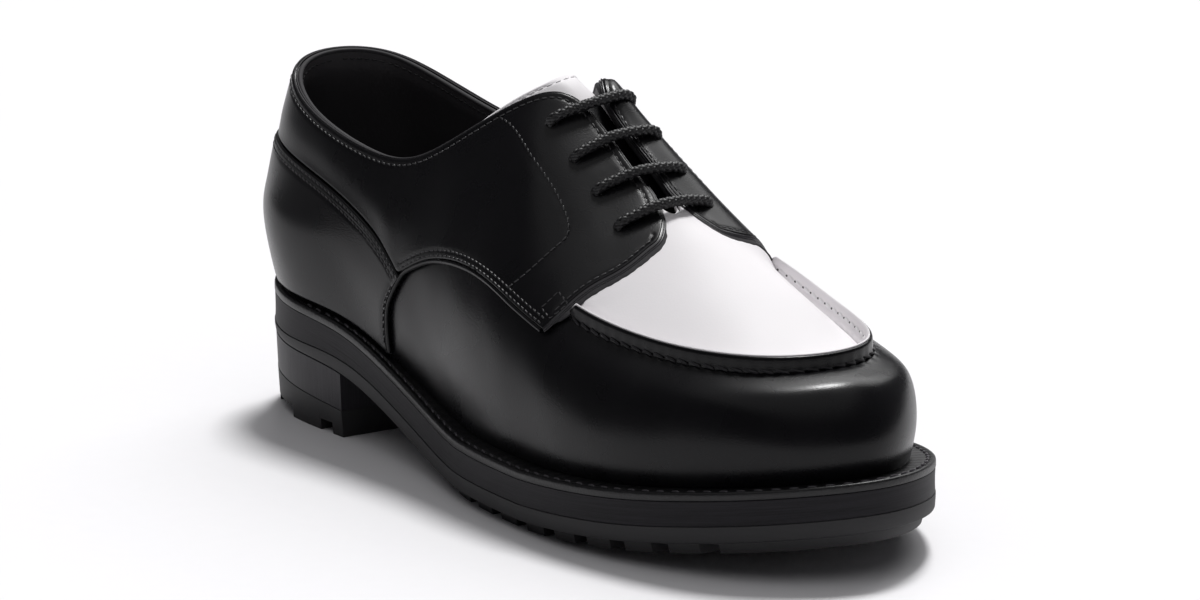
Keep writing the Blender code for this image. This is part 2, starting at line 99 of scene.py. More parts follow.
# shoulder line: x, lateral y, medial y, lateral z, medial z, then the crown of each side above the
# straight line to the rim
SHOULDER = (
    (1.0, 0.0, 0.0, 80.0, 80.0, 0.3, 0.3),
    (8.5, -21.5, 21.5, 80.0, 80.5, 0.4, 0.4),
    (32.0, -31.0, 30.5, 77.0, 78.0, 0.6, 0.6),
    (64.0, -33.0, 30.5, 72.0, 74.0, 0.6, 0.6),
    (92.0, -33.5, 29.5, 70.5, 73.5, 0.8, 0.8),
    (117.0, -33.0, 29.5, 74.0, 77.0, 1.5, 3.0),
    (142.0, -34.0, 31.5, 75.0, 78.0, 3.0, 6.5),
    (165.0, -35.5, 35.0, 69.5, 73.0, 3.5, 7.5),
    (190.0, -35.5, 37.7, 61.5, 65.5, 1.0, 4.2),
    (217.0, -32.5, 35.5, 58.2, 60.6, 0.2, 0.5),
    (240.0, -26.2, 29.8, 57.3, 58.5, 0.3, 0.3),
    (256.2, -14.6, 20.7, 57.2, 57.5, 0.3, 0.3),
    (262.4, 3.5, 3.5, 57.4, 57.4, 0.3, 0.3),
)
# rim of collar, facings and lacing slit: x, lateral y, medial y, lateral z, medial z
RIM = (
    (6.5, 0.5, 0.5, 105.6, 105.6),
    (12.5, -17.0, 17.5, 103.0, 103.4),
    (33.0, -25.5, 24.5, 95.0, 98.0),
    (64.0, -27.0, 25.0, 89.0, 93.0),
    (88.0, -25.0, 26.0, 89.8, 93.0),
    (108.0, -18.5, 27.0, 101.0, 103.0),
    (127.0, -4.0, 16.6, 114.0, 115.6),
    (141.0, 3.5, 10.5, 109.2, 110.0),
    (160.0, 3.6, 10.4, 97.6, 98.1),
    (172.0, 3.8, 10.2, 90.4, 90.6),
    (177.0, 4.8, 9.2, 87.6, 87.7),
    (178.4, 6.0, 8.0, 87.0, 87.0),
    (178.6, 7.0, 7.0, 86.9, 86.9),
)
LEVELS = (0.0, 0.16, 0.36, 0.56, 0.78, 1.0)
# height of the midsole's top: x, z
SEAT_HEIGHT = (
    (-5.0, 36.1),
    (35.0, 33.4),
    (65.0, 31.1),
    (95.0, 23.5),
    (121.0, 17.2),
    (150.0, 14.4),
    (181.0, 14.4),
    (206.0, 15.9),
    (231.0, 18.0),
    (256.0, 21.2),
    (292.0, 26.4),
)
SEAT_FLAT = MIDSOLE_THICK + OUTSOLE_THICK + LUG_DEPTH
# lines on the upper: section number, level
COUNTER_TOP = ((0.0, 0.622), (1.0, 0.62), (2.0, 0.613), (2.65, 0.60), (3.17, 0.552), (3.6, 0.484),
               (4.2, 0.345))
COUNTER_END = 4.17
# front edge of the counter: level, section number
COUNTER_FRONT = ((0.0, 3.78), (0.10, 3.80), (0.172, 3.85), (0.213, 3.90), (0.30, 4.05), (0.352, 4.17))
QUARTER_ARCH = ((4.1, 0.36), (4.6, 0.436), (5.05, 0.463), (5.9, 0.47), (6.7, 0.462), (7.54, 0.458))
QUARTER_FRONT = ((7.54, 0.458), (7.83, 0.59), (8.37, 0.725), (9.08, 0.85), (9.43, 0.90), (9.7, 0.98))
QUARTER_CORNER = 7.54
QUARTER_END = 9.6
BACK_STRIP_HALF = 0.35
RIDGE_LEVEL = 0.556
RIDGE_START = 7.8
EYESTAY_STITCH = ((5.45, 0.968), (6.0, 0.83), (6.5, 0.775), (6.98, 0.755), (7.31, 0.735), (7.40, 0.71),
                  (7.33, 0.68), (7.12, 0.62), (6.93, 0.567), (6.66, 0.492))
CORNER_SQUARE = ((7.58, 0.589), (7.79, 0.58), (7.605, 0.508), (7.40, 0.518), (7.58, 0.589))
# lace holes of the outer side and of the inner side
LACE_HOLES = (((6.39, 0.899), (7.075, 0.863), (7.63, 0.856), (8.23, 0.842)),
              ((6.42, 0.875), (7.14, 0.852), (7.80, 0.866), (8.38, 0.854)))
LACE_BOW = (2.5, 0.9, 1.9, 2.2)    # how far the bars bow forward at the middle
LACE_ARCH = 0.8          # how far their middle stands up from the taut line
LACE_LIFT = 1.5          # middle of the cord above the leather
LACE_RISE = 3.4          # length in which it comes up from its hole
HOLE_RADIUS = 1.8
TONGUE_LEVEL = 0.82
TONGUE_CLEAR = 0.9
TONGUE_THICK = 2.0
TONGUE_SLIT = 0.35
# top edge of the tongue on either side: reach from its middle, section number, level
TONGUE_TOP = ((0.35, 5.80, 1.092), (0.48, 5.66, 1.096), (0.60, 5.48, 1.099), (0.72, 5.26, 1.100),
              (0.84, 4.98, 1.098), (0.93, 4.70, 1.085), (1.0, 4.44, 1.045))
TONGUE_LEAN = 0.026      # how much higher the level of its top is on the inner side
TONGUE_ROW = 2.8         # stitch row's distance from the tongue's top edge
LUG_PITCH = 15.0
LUG_GROOVE = 5.5
LUG_START = 124.0
HEEL_NOTCHES = ((25.0, 20.0), (56.0, 6.5))
HEEL_NOTCH_REACH = 22.0

# Stitching: distance between stitches, length of each, thread radius
FINE_STITCH = (2.4, 2.0, 0.25)
WELT_STITCH = (5.2, 3.3, 0.42)
RIDGE_STITCH = (4.5, 4.6, 0.42)

# Camera, matched to the photograph
CAMERA_AZIMUTH = 55.0
CAMERA_ELEVATION = 13.8
CAMERA_DISTANCE = 2924.0
CAMERA_AIM = (150.0, 0.0, 55.0)
CAMERA_LENS = 296.0


# Curves and the shoe's surface

EDGE_STEP = 0.01                # section step that gives the slope of the sole's edge
SURFACE_STEP = (0.02, 0.004)    # section step and level step that give the slope of the upper
LINE_STEP = (0.01, 0.002)       # the same, for a line beside another line
SIDE_SHARE = 0.52               # place of the upper side's point from the swell to the shoulder
HEEL_BULGE = (0.12, 0.16, 0.2, 0.24)    # levels where the heel reaches furthest back
# unevenness of leather: wave lengths along x, y and z, phase, weight
LEATHER_WAVES = (
    (5.1, 7.3, math.inf, 1.0, 1.0),
    (8.7, math.inf, -4.9, 2.1, 1.0),
    (math.inf, 6.1, 6.7, 0.4, 1.0),
    (3.3, math.inf, 3.9, 3.3, 0.6),
)


def unit(vectors):
    """Vectors scaled to a length of 1."""
    return vectors / np.linalg.norm(vectors, axis=-1, keepdims=True)


def smooth_step(x):
    """Soft step from 0 to 1 while x runs from 0 to 1."""
    x = np.clip(x, 0.0, 1.0)
    return x * x * (3 - 2 * x)


def natural_shares(knots, places):
    """Share of each knot's value in a smooth open curve, a row for each place."""
    k = np.asarray(knots, float)
    v = np.atleast_1d(np.asarray(places, float))
    n = len(k)
    h = np.diff(k)
    left = np.eye(n)
    right = np.zeros((n, n))
    for i in range(1, n - 1):
        left[i, i - 1:i + 2] = h[i - 1], 2 * (h[i - 1] + h[i]), h[i]
        right[i, i - 1] = 6 / h[i - 1]
        right[i, i] = -6 / h[i - 1] - 6 / h[i]
        right[i, i + 1] = 6 / h[i]
    bend = np.linalg.solve(left, right)
    i = np.clip(np.searchsorted(k, v) - 1, 0, n - 2)
    a = (k[i + 1] - v) / h[i]
    b = 1 - a
    share = np.zeros((len(v), n))
    row = np.arange(len(v))
    share[row, i] = a
    share[row, i + 1] = b
    curve = (a ** 3 - a)[:, None] * bend[i] + (b ** 3 - b)[:, None] * bend[i + 1]
    return share + curve * (h[i] ** 2 / 6)[:, None]


def along(rows, x):
    """Values of a two-column table at the places x."""
    table = np.asarray(rows, float)
    x = np.asarray(x, float)
    return (natural_shares(table[:, 0], x.ravel()) @ table[:, 1]).reshape(x.shape)


def closed_knots(points):
    """Control points of a smooth closed curve that passes through the given points."""
    points = np.asarray(points, float)
    one = np.eye(len(points))
    blend = (4 * one + np.roll(one, 1, axis=0) + np.roll(one, -1, axis=0)) / 6
    return np.linalg.solve(blend, points.reshape(len(points), -1)).reshape(points.shape)


def closed_at(knots, u):
    """Points of a closed curve at section numbers u."""
    u = np.atleast_1d(np.asarray(u, float))
    i = np.floor(u).astype(int)
    t = u - i
    shares = ((1 - t) ** 3 / 6, (3 * t ** 3 - 6 * t ** 2 + 4) / 6,
              (-3 * t ** 3 + 3 * t ** 2 + 3 * t + 1) / 6, t ** 3 / 6)
    tail = (1,) * (knots.ndim - 1)
    return sum(s.reshape(-1, *tail) * knots[(i - 1 + k) % len(knots)] for k, s in enumerate(shares))


def both_sides(table, lateral, medial):
    """Rows of a table round the shoe: lateral columns from heel to toe, then medial ones back."""
    rows = [[row[c] for c in lateral] for row in table]
    return rows + [[row[c] for c in medial] for row in table[-2:0:-1]]


EDGE = closed_knots(both_sides(SOLE_EDGE, (0, 1), (0, 2)))
SHOW = closed_knots(both_sides(SOLE_EDGE, (3,), (3,)))


def seat_height(x):
    """Height of the midsole's top."""
    return np.maximum(SEAT_FLAT, along(SEAT_HEIGHT, x))


def edge_points(u, inset=0.0):
    """Points of the sole's edge from above, moved inwards by inset."""
    u = np.atleast_1d(np.asarray(u, float))
    tangent = unit(closed_at(EDGE, u + EDGE_STEP) - closed_at(EDGE, u - EDGE_STEP))
    inwards = np.c_[-tangent[:, 1], tangent[:, 0]]
    return closed_at(EDGE, u) + np.reshape(inset, (-1, 1)) * inwards


def welt_shows(u):
    """Width of the welt that shows beside the upper."""
    return closed_at(SHOW, u)[:, 0]


def face_at(knots, u, v):
    """Points of a face given by its sections, at section numbers u and levels v."""
    return np.einsum("nl,nlc->nc", natural_shares(LEVELS, v), closed_at(knots, u))


def surface(u, v, lift=0.0, knots=None, with_normal=False):
    """Points of the upper's outer face, lifted off along its normal."""
    knots = UPPER if knots is None else knots
    u, v, lift = (a.ravel() for a in np.broadcast_arrays(u, v, np.asarray(lift, float)))
    du, dv = SURFACE_STEP
    across = face_at(knots, u + du, v) - face_at(knots, u - du, v)
    normal = unit(np.cross(across, face_at(knots, u, v + dv) - face_at(knots, u, v - dv)))
    points = face_at(knots, u, v) + lift[:, None] * normal
    return (points, normal) if with_normal else points


def section_levels():
    """The six points of every section: seat, swell, upper side, shoulder, top and rim."""
    side = both_sides(SIDE, (0, 1, 2), (0, 1, 2))
    shoulder = both_sides(SHOULDER, (0, 1, 3, 5), (0, 2, 4, 6))
    rim = both_sides(RIM, (0, 1, 3), (0, 2, 4))
    sections = []
    for u in range(SECTION_COUNT):
        swell, swell_up, roundness = side[u]
        foot = edge_points(u, welt_shows(u))[0]
        out = edge_points(u, welt_shows(u) - 1.0)[0] - foot
        base = float(seat_height(foot[0])) + WELT_THICK + CLEAR
        seat = np.array((*foot, base))
        wide = np.array((*(foot + swell * out), base + swell_up))
        shoulder_point = np.array(shoulder[u][:3])
        chord = shoulder_point - wide
        away = np.array((*out, 0.0))
        away = unit(away - chord * (away @ chord) / (chord @ chord))
        upper_side = wide + SIDE_SHARE * chord + roundness * away
        top_edge = np.array(rim[u])
        top = (shoulder_point + top_edge) / 2 + np.array((0.0, 0.0, shoulder[u][3]))
        sections.append((seat, wide, upper_side, shoulder_point, top, top_edge))
    return np.array(sections)


def sunk_levels():
    """The sections again, set in where a piece laid on the upper makes up the thickness."""
    outer = closed_knots(section_levels())
    lowest = both_sides(SIDE, (3,), (3,))
    sections = []
    for u in range(SECTION_COUNT):
        lift = [-OVERLAY_SINK if k >= lowest[u][0] else 0.0 for k in range(len(LEVELS))]
        sections.append(surface(np.full(len(LEVELS), float(u)), LEVELS, lift, outer))
    return np.array(sections)


UPPER = closed_knots(sunk_levels())


def frame_origin():
    """Middle of the shoe's box from above."""
    heel_u, heel_v = np.meshgrid(np.arange(-2, 2, 0.1), HEEL_BULGE)
    marks = np.concatenate((edge_points(np.arange(0, SECTION_COUNT, 0.1)),
                            surface(heel_u, heel_v, PROUD)[:, :2]))
    return (marks.min(axis=0) + marks.max(axis=0)) / 2


ORIGIN = np.array((*frame_origin(), 0.0))


def mm_per_level(us, level, step=0.01):
    """Millimetres of surface to a whole level, beside one level of some sections."""
    return np.linalg.norm(surface(us, level + step) - surface(us, level), axis=1) / step


def soft_waves(points):
    """Slight unevenness of leather drawn over a last, from -1 to 1."""
    x, y, z = np.asarray(points).T
    waves = [weight * np.sin(x / a + y / b + z / c + phase) for a, b, c, phase, weight in LEATHER_WAVES]
    return sum(waves) / sum(row[-1] for row in LEATHER_WAVES)


# Meshes

# a stitch: place along it, dip into its hole, share of its stand, width, the last three in thread radii
STITCH_FORM = np.array((
    (-0.5, -1.1, 0.0, 0.55),
    (-0.36, 0.0, 0.6, 0.95),
    (-0.12, 0.0, 1.0, 1.0),
    (0.12, 0.0, 1.0, 1.0),
    (0.36, 0.0, 0.6, 0.95),
    (0.5, -1.1, 0.0, 0.55),
))
THREAD_CORNERS = 6
LINE_POINTS = 0.4        # distance between the points of a line on the upper


class Shape:
    """Points and faces of one piece, gathered before its mesh is made."""

    def __init__(self):
        self.points = []
        self.faces = []
        self.finish = []
        self.count = 0

    def add(self, points, faces, finish=0):
        points = np.asarray(points, float).reshape(-1, 3)
        self.points.append(points)
        self.faces.extend(tuple(i + self.count for i in face) for face in faces)
        self.finish.extend(finish if hasattr(finish, "__len__") else [finish] * len(faces))
        self.count += len(points)

    def make(self, name, finishes=(), sharp=48):
        """Object of the gathered faces."""
        mesh = bpy.data.meshes.new(name)
        points = (np.concatenate(self.points) - ORIGIN) * MM
        mesh.from_pydata(points.tolist(), [], self.faces)
        for finish in finishes:
            mesh.materials.append(finish)
        mesh.polygons.foreach_set("material_index", self.finish)
        tidy = bmesh.new()
        tidy.from_mesh(mesh)
        bmesh.ops.recalc_face_normals(tidy, faces=tidy.faces)
        tidy.to_mesh(mesh)
        tidy.free()
        mesh.shade_smooth()
        mesh.set_sharp_from_angle(angle=math.radians(sharp))
        made = bpy.data.objects.new(name, mesh)
        bpy.context.scene.collection.objects.link(made)
        return made

    def piece(self, name, finishes, slot, nodes=(), sharp=48):
        """The object, riding on the shoe and standing for its CAD nodes."""
        made = self.make(name, finishes, sharp)
        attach(made, "root")
        if nodes:
            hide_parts(*nodes)
        return made


def grid_faces(rows, columns, wrap=False, closed=False):
    """Quads of a grid of points, closed round its columns if it wraps, and round its rows if closed."""
    last = columns if wrap else columns - 1
    return [(r * columns + c, r * columns + (c + 1) % columns,
             (r + 1) % rows * columns + (c + 1) % columns, (r + 1) % rows * columns + c)
            for r in range(rows if closed else rows - 1) for c in range(last)]


def add_sheet(shape, outer, inner, edge_finish=0):
    """Closed sheet between two grids of points."""
    rows, columns = outer.shape[:2]
    size = rows * columns
    faces = grid_faces(rows, columns)
    back = [tuple(size + i for i in reversed(face)) for face in faces]
    loop = list(range(columns))
    loop += [r * columns + columns - 1 for r in range(1, rows)]
    loop += [(rows - 1) * columns + c for c in range(columns - 2, -1, -1)]
    loop += [r * columns for r in range(rows - 2, 0, -1)]
    wall = [(b, a, a + size, b + size) for a, b in zip(loop, loop[1:] + loop[:1])]
    finish = [0] * (2 * len(faces)) + [edge_finish] * len(wall)
    shape.add(np.concatenate((outer.reshape(-1, 3), inner.reshape(-1, 3))), faces + back + wall, finish)


def lengths_along(path):
    """How far along a path each of its points is."""
    return np.concatenate(((0.0,), np.cumsum(np.linalg.norm(np.diff(path, axis=0), axis=1))))


def between(places, far, rows):
    """Rows of values at the given places, from rows that lie at the distances far."""
    return np.stack([np.interp(places, far, column) for column in np.transpose(rows)], axis=-1)


def places_along(*stretches):
    """Places in a row, from stretches of start, end and count, each of which ends where the next starts."""
    rows = [np.linspace(*stretch) for stretch in stretches]
    return np.concatenate((rows[0], *(row[1:] for row in rows[1:])))


def frames_along(path, ups):
    """Unit directions to the side of a path and up from it, for rough up directions."""
    tangent = unit(np.gradient(path, axis=0))
    ups = unit(ups - tangent * np.sum(ups * tangent, axis=1)[:, None])
    return np.cross(tangent, ups), ups


def circle(corners, radius=1.0):
    """Round profile."""
    turn = np.arange(corners) * math.tau / corners
    return np.c_[np.cos(turn), np.sin(turn)] * radius


def add_sweep(shape, path, sides, ups, profile, finish=0):
    """Closed profile of (sideways, up) points carried along a path, with ends closed."""
    profile = np.asarray(profile, float)
    if profile.ndim == 2:
        profile = np.broadcast_to(profile, (len(path), *profile.shape))
    points = path[:, None] + profile[..., :1] * sides[:, None] + profile[..., 1:] * ups[:, None]
    count = profile.shape[1]
    faces = grid_faces(len(path), count, wrap=True)
    faces.append(tuple(range(count)))
    faces.append(tuple((len(path) - 1) * count + k for k in range(count)))
    shape.add(points, faces, finish)


def add_bead(shape, path, ups, radius, finish, corners=8):
    """Round bead along a path."""
    add_sweep(shape, path, *frames_along(path, ups), circle(corners, radius), finish)


def even_path(points, step):
    """Points of a path again, at even distances of about step, and how far along each one is."""
    far = lengths_along(points)
    places = np.linspace(0.0, far[-1], max(2, round(far[-1] / step) + 1))
    return between(places, far, points), places


def softened(path, reach):
    """Path with its corners rounded off, by averaging this many points on either side."""
    padded = np.concatenate((np.repeat(path[:1], reach, axis=0), path, np.repeat(path[-1:], reach, axis=0)))
    return sum(padded[k:k + len(path)] for k in range(2 * reach + 1)) / (2 * reach + 1)


def smooth_path(points, count):
    """Smooth curve through a few points."""
    far = lengths_along(points)
    return natural_shares(far, np.linspace(0, far[-1], count)) @ np.asarray(points)


def smooth_line(rows, count):
    """Section numbers and levels of a smooth line through the rows of a table."""
    knots = np.arange(len(rows), dtype=float)
    return (natural_shares(knots, np.linspace(0, knots[-1], count)) @ np.array(rows)).T


def add_stitches(shape, path, normals, kind, slant=0.0, stand=0.5):
    """Row of stitches along a path on a surface, each one dipping into its holes."""
    pitch, length, radius = kind
    stations, dips, stands, widths = STITCH_FORM.T
    far = lengths_along(path)
    count = max(1, round(far[-1] / pitch))
    middles = (np.arange(count) + 0.5) * far[-1] / count
    places = np.clip(middles[:, None] + stations * length, 0, far[-1])
    up = between(places, far, normals)
    ahead = between(places, far, unit(np.gradient(path, axis=0)))
    side = unit(np.cross(ahead, up))
    heights = (dips + stands * stand) * radius
    centre = between(places, far, path) + up * heights[:, None] + side * (stations * slant)[:, None]
    turn = circle(THREAD_CORNERS)
    ring = (centre[:, :, None] + (widths * radius)[:, None, None]
            * (turn[:, :1] * side[:, :, None] + turn[:, 1:] * up[:, :, None]))
    per = len(stations) * THREAD_CORNERS
    one = grid_faces(len(stations), THREAD_CORNERS, wrap=True)
    one += [tuple(range(THREAD_CORNERS)), tuple(range(per - THREAD_CORNERS, per))]
    shape.add(ring, [tuple(i + k * per for i in face) for k in range(count) for face in one])


def offset_line(us, vs, distance):
    """Line on the upper beside another one, at a distance in millimetres towards higher levels."""
    du, dv = np.gradient(us), np.gradient(vs)
    step_u, step_v = LINE_STEP
    here = face_at(UPPER, us, vs)
    by_u = (face_at(UPPER, us + step_u, vs) - here) / step_u
    by_v = (face_at(UPPER, us, vs + step_v) - here) / step_v
    tangent = by_u * du[:, None] + by_v * dv[:, None]
    beside = unit(np.cross(np.cross(by_u, by_v), tangent)) * np.sign(du)[:, None]
    e, f, g = (np.sum(a * b, axis=1) for a, b in ((by_u, by_u), (by_u, by_v), (by_v, by_v)))
    p, q = (distance * np.sum(beside * b, axis=1) for b in (by_u, by_v))
    det = e * g - f * f
    return us + (p * g - q * f) / det, vs + (q * e - p * f) / det


def stitch_line(us, vs, side, lift):
    """Evenly spaced points and normals of a line on the upper, on the outer (1) or inner (-1) side."""
    points, normals = surface(side * np.asarray(us), np.asarray(vs), lift, with_normal=True)
    even, places = even_path(points, LINE_POINTS)
    return even, between(places, lengths_along(points), normals)


# Lines of the laid-on pieces

COUNTER_JOIN = 4.12      # section where the quarter's lower edge leaves the counter
THROAT_ROUND = (8.75, 0.95, 0.05)    # the quarter's top corner: where it starts, its width, its drop
# distances from a piece's edge at which its rows of points lie close
EDGE_ROWS = np.array((0.0, 0.08, 0.22, 0.45, 0.85, 1.3, 1.75, 2.2, 2.65, 3.2, 4.0))
EDGE_SHARE = 0.42        # most of a narrow piece's width that these rows take up on a side
BORDER_POINTS = 0.12     # distance between points along a piece's border
EDGE_RADIUS = 0.55       # rounding of a cut edge
LAID_BASE = 0.15         # under face of a laid-on piece above the upper
WAVE_HEIGHT = 0.07
WAVE_REACH = 4.0         # distance from the edge in which the leather's waves fade in
GROOVE = (0.22, 0.55)    # depth and half width of a groove pressed by stitching
THINNEST = 0.05


def counter_top(u):
    """Level of the counter's top edge."""
    return along(COUNTER_TOP, np.minimum(np.abs(u), COUNTER_TOP[-1][0]))


def quarter_low(u):
    """Level of the quarter's lower edge: along the counter, over the vamp's wing, to the throat."""
    u = np.abs(u)
    arch = along(QUARTER_ARCH, np.clip(u, QUARTER_ARCH[0][0], QUARTER_CORNER))
    front = along(QUARTER_FRONT, np.clip(u, QUARTER_CORNER, QUARTER_FRONT[-1][0]))
    return np.where(u < QUARTER_CORNER, np.where(u < COUNTER_JOIN, counter_top(u), arch), front)


def quarter_high(u):
    """Level of the quarter's upper edge: the rim, with a rounded corner at the throat."""
    start, width, drop = THROAT_ROUND
    return 1.0 - drop * smooth_step((np.abs(u) - start) / width) ** 1.5


def level_length(u, low, high):
    """Millimetres between two levels of a section."""
    steps = np.linspace(0, 1, 9)[:, None]
    points = surface(np.broadcast_to(u, (9, len(u))), low + (high - low) * steps).reshape(9, len(u), 3)
    return np.linalg.norm(np.diff(points, axis=0), axis=2).sum(axis=0)


def edge_rows(us, lows, highs, middle):
    """Levels of a patch's points, with rows set close at its lower and upper edges."""
    length = np.maximum(level_length(us, lows, highs), 0.2)
    shares = np.linspace(0, 1, len(EDGE_ROWS))[:, None]
    close = np.minimum(EDGE_ROWS[:, None], shares * EDGE_SHARE * length)
    inner = np.linspace(0, 1, middle + 2)[1:-1, None]
    inside = close[-1] + inner * (length - 2 * close[-1])
    far = np.concatenate((close, inside, (length - close)[::-1]))
    return lows + far / length * (highs - lows)


def point_tree(points):
    """Tree that finds the nearest of some points."""
    tree = KDTree(len(points))
    for number, point in enumerate(points):
        tree.insert(point, number)
    tree.balance()
    return tree


def border_tree(grid):
    """Tree of close points along the border of a grid."""
    loop = np.concatenate((grid[0], grid[1:, -1], grid[-1, -2::-1], grid[-2::-1, 0]))
    return point_tree(even_path(loop, BORDER_POINTS)[0])


def distance_to(tree, points):
    """Distance from each point to the nearest point of a tree."""
    return np.array([tree.find(point)[2] for point in points])


def round_edge(far, radius):
    """Height of a cut edge that is rounded over, from 0 at the edge to 1."""
    return np.sqrt(np.maximum(1 - (1 - np.clip(far / radius, 0, 1)) ** 2, 0))


def laid_piece(u, v, lifts, grooves=(), radius=EDGE_RADIUS):
    """Outer and inner points of a leather piece on the upper.

    lifts gives its under face and its outer face above the upper; it is rounded at its edges and
    pressed in along the stitch lines in grooves.
    """
    flat = surface(u, v)
    far = distance_to(border_tree(flat.reshape(*u.shape, 3)), flat)
    low, high = (np.broadcast_to(a, u.shape).ravel() for a in lifts)
    height = low + (high - low) * round_edge(far, radius)
    height = height + WAVE_HEIGHT * soft_waves(flat) * smooth_step(far / WAVE_REACH)
    depth, width = GROOVE
    for row in grooves:
        height = height - depth * np.exp(-(distance_to(point_tree(row), flat) / width) ** 2)
    under = np.minimum(low, height - THINNEST)
    return [surface(u, v, lift.reshape(u.shape)).reshape(*u.shape, 3) for lift in (height, under)]


# Finishes

SURFACE_IOR = 1.5        # usual for finished leather, wax, thread and rubber
CLOUD_SIZE = 22.0        # size of the faint clouds in dye and polish
CLOUD_RANGE = (0.3, 0.7)
POLISH = (-0.04, 0.05)   # how far the clouds move the roughness
HAIR_SHARE = 0.6         # size of the hair cells beside the pores
LEATHER_RELIEF = 0.12    # depths of the reliefs at full strength
FIBRE_RELIEF = 0.2
GRIT_RELIEF = 0.1
FIBRE_STRENGTH = 0.35
FIBRE_RANGE = (0.3, 0.72)
SANDED_SHINE = 0.2


def linear(code):
    """Linear colour of an sRGB hex value."""
    values = [int(code[i:i + 2], 16) / 255 for i in (1, 3, 5)]
    return tuple(v / 12.92 if v <= 0.04045 else ((v + 0.055) / 1.055) ** 2.4 for v in values) + (1.0,)


def add_node(tree, kind, inputs=None, **settings):
    """Node with its settings, and inputs that are values or other nodes' outputs."""
    made = tree.nodes.new(kind)
    for name, value in settings.items():
        setattr(made, name, value)
    for name, value in (inputs or {}).items():
        if isinstance(value, bpy.types.NodeSocket):
            tree.links.new(value, made.inputs[name])
        else:
            made.inputs[name].default_value = value
    return made


def new_finish(name, roughness, shine=0.5):
    """Empty material with its shader, and the shoe's own coordinates in metres."""
    made = bpy.data.materials.new(name)
    made.use_nodes = True
    tree = made.node_tree
    shader = tree.nodes["Principled BSDF"]
    shader.inputs["Roughness"].default_value = roughness
    shader.inputs["IOR"].default_value = SURFACE_IOR
    shader.inputs["Specular IOR Level"].default_value = shine
    place = add_node(tree, "ShaderNodeTexCoord").outputs["Object"]
    return made, tree, shader, place


def per_mm(size):
    """Texture scale, in metres, of a pattern whose cells are this many millimetres."""
    return 1.0 / (size * MM)


def noise(tree, place, size, detail):
    """Soft noise, from 0 to 1, whose cells are this many millimetres."""
    inputs = {"Vector": place, "Scale": per_mm(size), "Detail": detail}
    return add_node(tree, "ShaderNodeTexNoise", inputs).outputs["Fac"]


def spread(tree, value, start, end, low=0.0, high=1.0):
    """Value drawn out, so that start gives low and end gives high."""
    inputs = {"Value": value, "From Min": start, "From Max": end, "To Min": low, "To Max": high}
    return add_node(tree, "ShaderNodeMapRange", inputs).outputs[0]


def tint(tree, shader, share, dark, light):
    """Base colour that a pattern moves between two colours."""
    inputs = {"Factor": share, "A": linear(dark), "B": linear(light)}
    mixed = add_node(tree, "ShaderNodeMix", inputs, data_type="RGBA")
    tree.links.new(mixed.outputs[2], shader.inputs["Base Color"])


def emboss(tree, shader, height, strength, depth):
    """Relief of a pattern, this many millimetres deep at full strength."""
    inputs = {"Height": height, "Strength": strength, "Distance": depth * MM}
    tree.links.new(add_node(tree, "ShaderNodeBump", inputs).outputs[0], shader.inputs["Normal"])


def leather(name, dark, light, roughness, grain, depth, shine=0.4):
    """Smooth calf: fine pores in a soft sheen, with faint clouds of colour and polish."""
    made, tree, shader, place = new_finish(name, roughness, shine)
    clouds = noise(tree, place, CLOUD_SIZE, 3.0)
    hair = noise(tree, place, grain * HAIR_SHARE, 2.0)
    pores = add_node(tree, "ShaderNodeTexVoronoi", {"Vector": place, "Scale": per_mm(grain)}, feature="F1")
    skin = add_node(tree, "ShaderNodeMath", {0: pores.outputs["Distance"], 1: hair}, operation="ADD")
    polish = spread(tree, clouds, *CLOUD_RANGE, roughness + POLISH[0], roughness + POLISH[1])
    tree.links.new(polish, shader.inputs["Roughness"])
    tint(tree, shader, clouds, dark, light)
    emboss(tree, shader, skin.outputs[0], depth, LEATHER_RELIEF)
    return made


def sanded_edge(name, dark, light, roughness, streak):
    """Sole leather cut through its fibres, with streaks of this length and height from the sanding."""
    made, tree, shader, _ = new_finish(name, roughness, SANDED_SHINE)
    lines = add_node(tree, "ShaderNodeUVMap", uv_map="edge")
    stretch = add_node(tree, "ShaderNodeMapping", {"Vector": lines.outputs[0],
                                                   "Scale": (1 / streak[0], 1 / streak[1], 1.0)})
    fibres = add_node(tree, "ShaderNodeTexNoise", {"Vector": stretch.outputs[0], "Scale": 1.0, "Detail": 6.0,
                                                   "Roughness": 0.7, "Distortion": 0.6}).outputs["Fac"]
    tint(tree, shader, spread(tree, fibres, *FIBRE_RANGE), dark, light)
    emboss(tree, shader, fibres, FIBRE_STRENGTH, FIBRE_RELIEF)
    return made


def speckled(name, dark, light, roughness, grit, depth):
    """Matte surface with a fine grit, as on moulded rubber, waxed thread or a dyed cord."""
    made, tree, shader, place = new_finish(name, roughness)
    share = noise(tree, place, grit, 3.0)
    tint(tree, shader, share, dark, light)
    emboss(tree, shader, share, depth, GRIT_RELIEF)
    return made


# box calf, dyed through and glazed: deep black with a broad soft highlight
black_calf = leather("black_box_calf", "#08080a", "#0e0d10", 0.28, 0.5, 0.17, shine=0.22)
# calf finished with white pigment: an even satin white with a hint of pores
white_calf = leather("white_calf", "#ece9eb", "#f1eef0", 0.6, 0.75, 0.10, shine=0.3)
# black lining calf, dyed and left dull, with its tone painted up to dark grey as painted fill light: the
# inside reads as dark grey, not as a hole
lining_calf_painted_fill = leather("black_lining_calf", "#3c3a3d", "#494749", 0.55, 1.0, 0.2)
# cut edge, inked and waxed, its tone lifted above the leather's as a painted highlight: with its low
# roughness, a thin glint that outlines each panel
edge_ink_painted_glint = speckled("waxed_cut_edge", "#1a191c", "#2b292d", 0.26, 0.8, 0.12)
# cut edge left raw: rough, dull fibres
raw_edge = speckled("raw_cut_leather", "#171618", "#323034", 0.8, 0.45, 0.8)
# welt leather, dyed and waxed: a coarser grain with a quiet sheen
welt_calf = leather("dark_welt_leather", "#0b0a0c", "#161517", 0.4, 0.9, 0.45, shine=0.4)
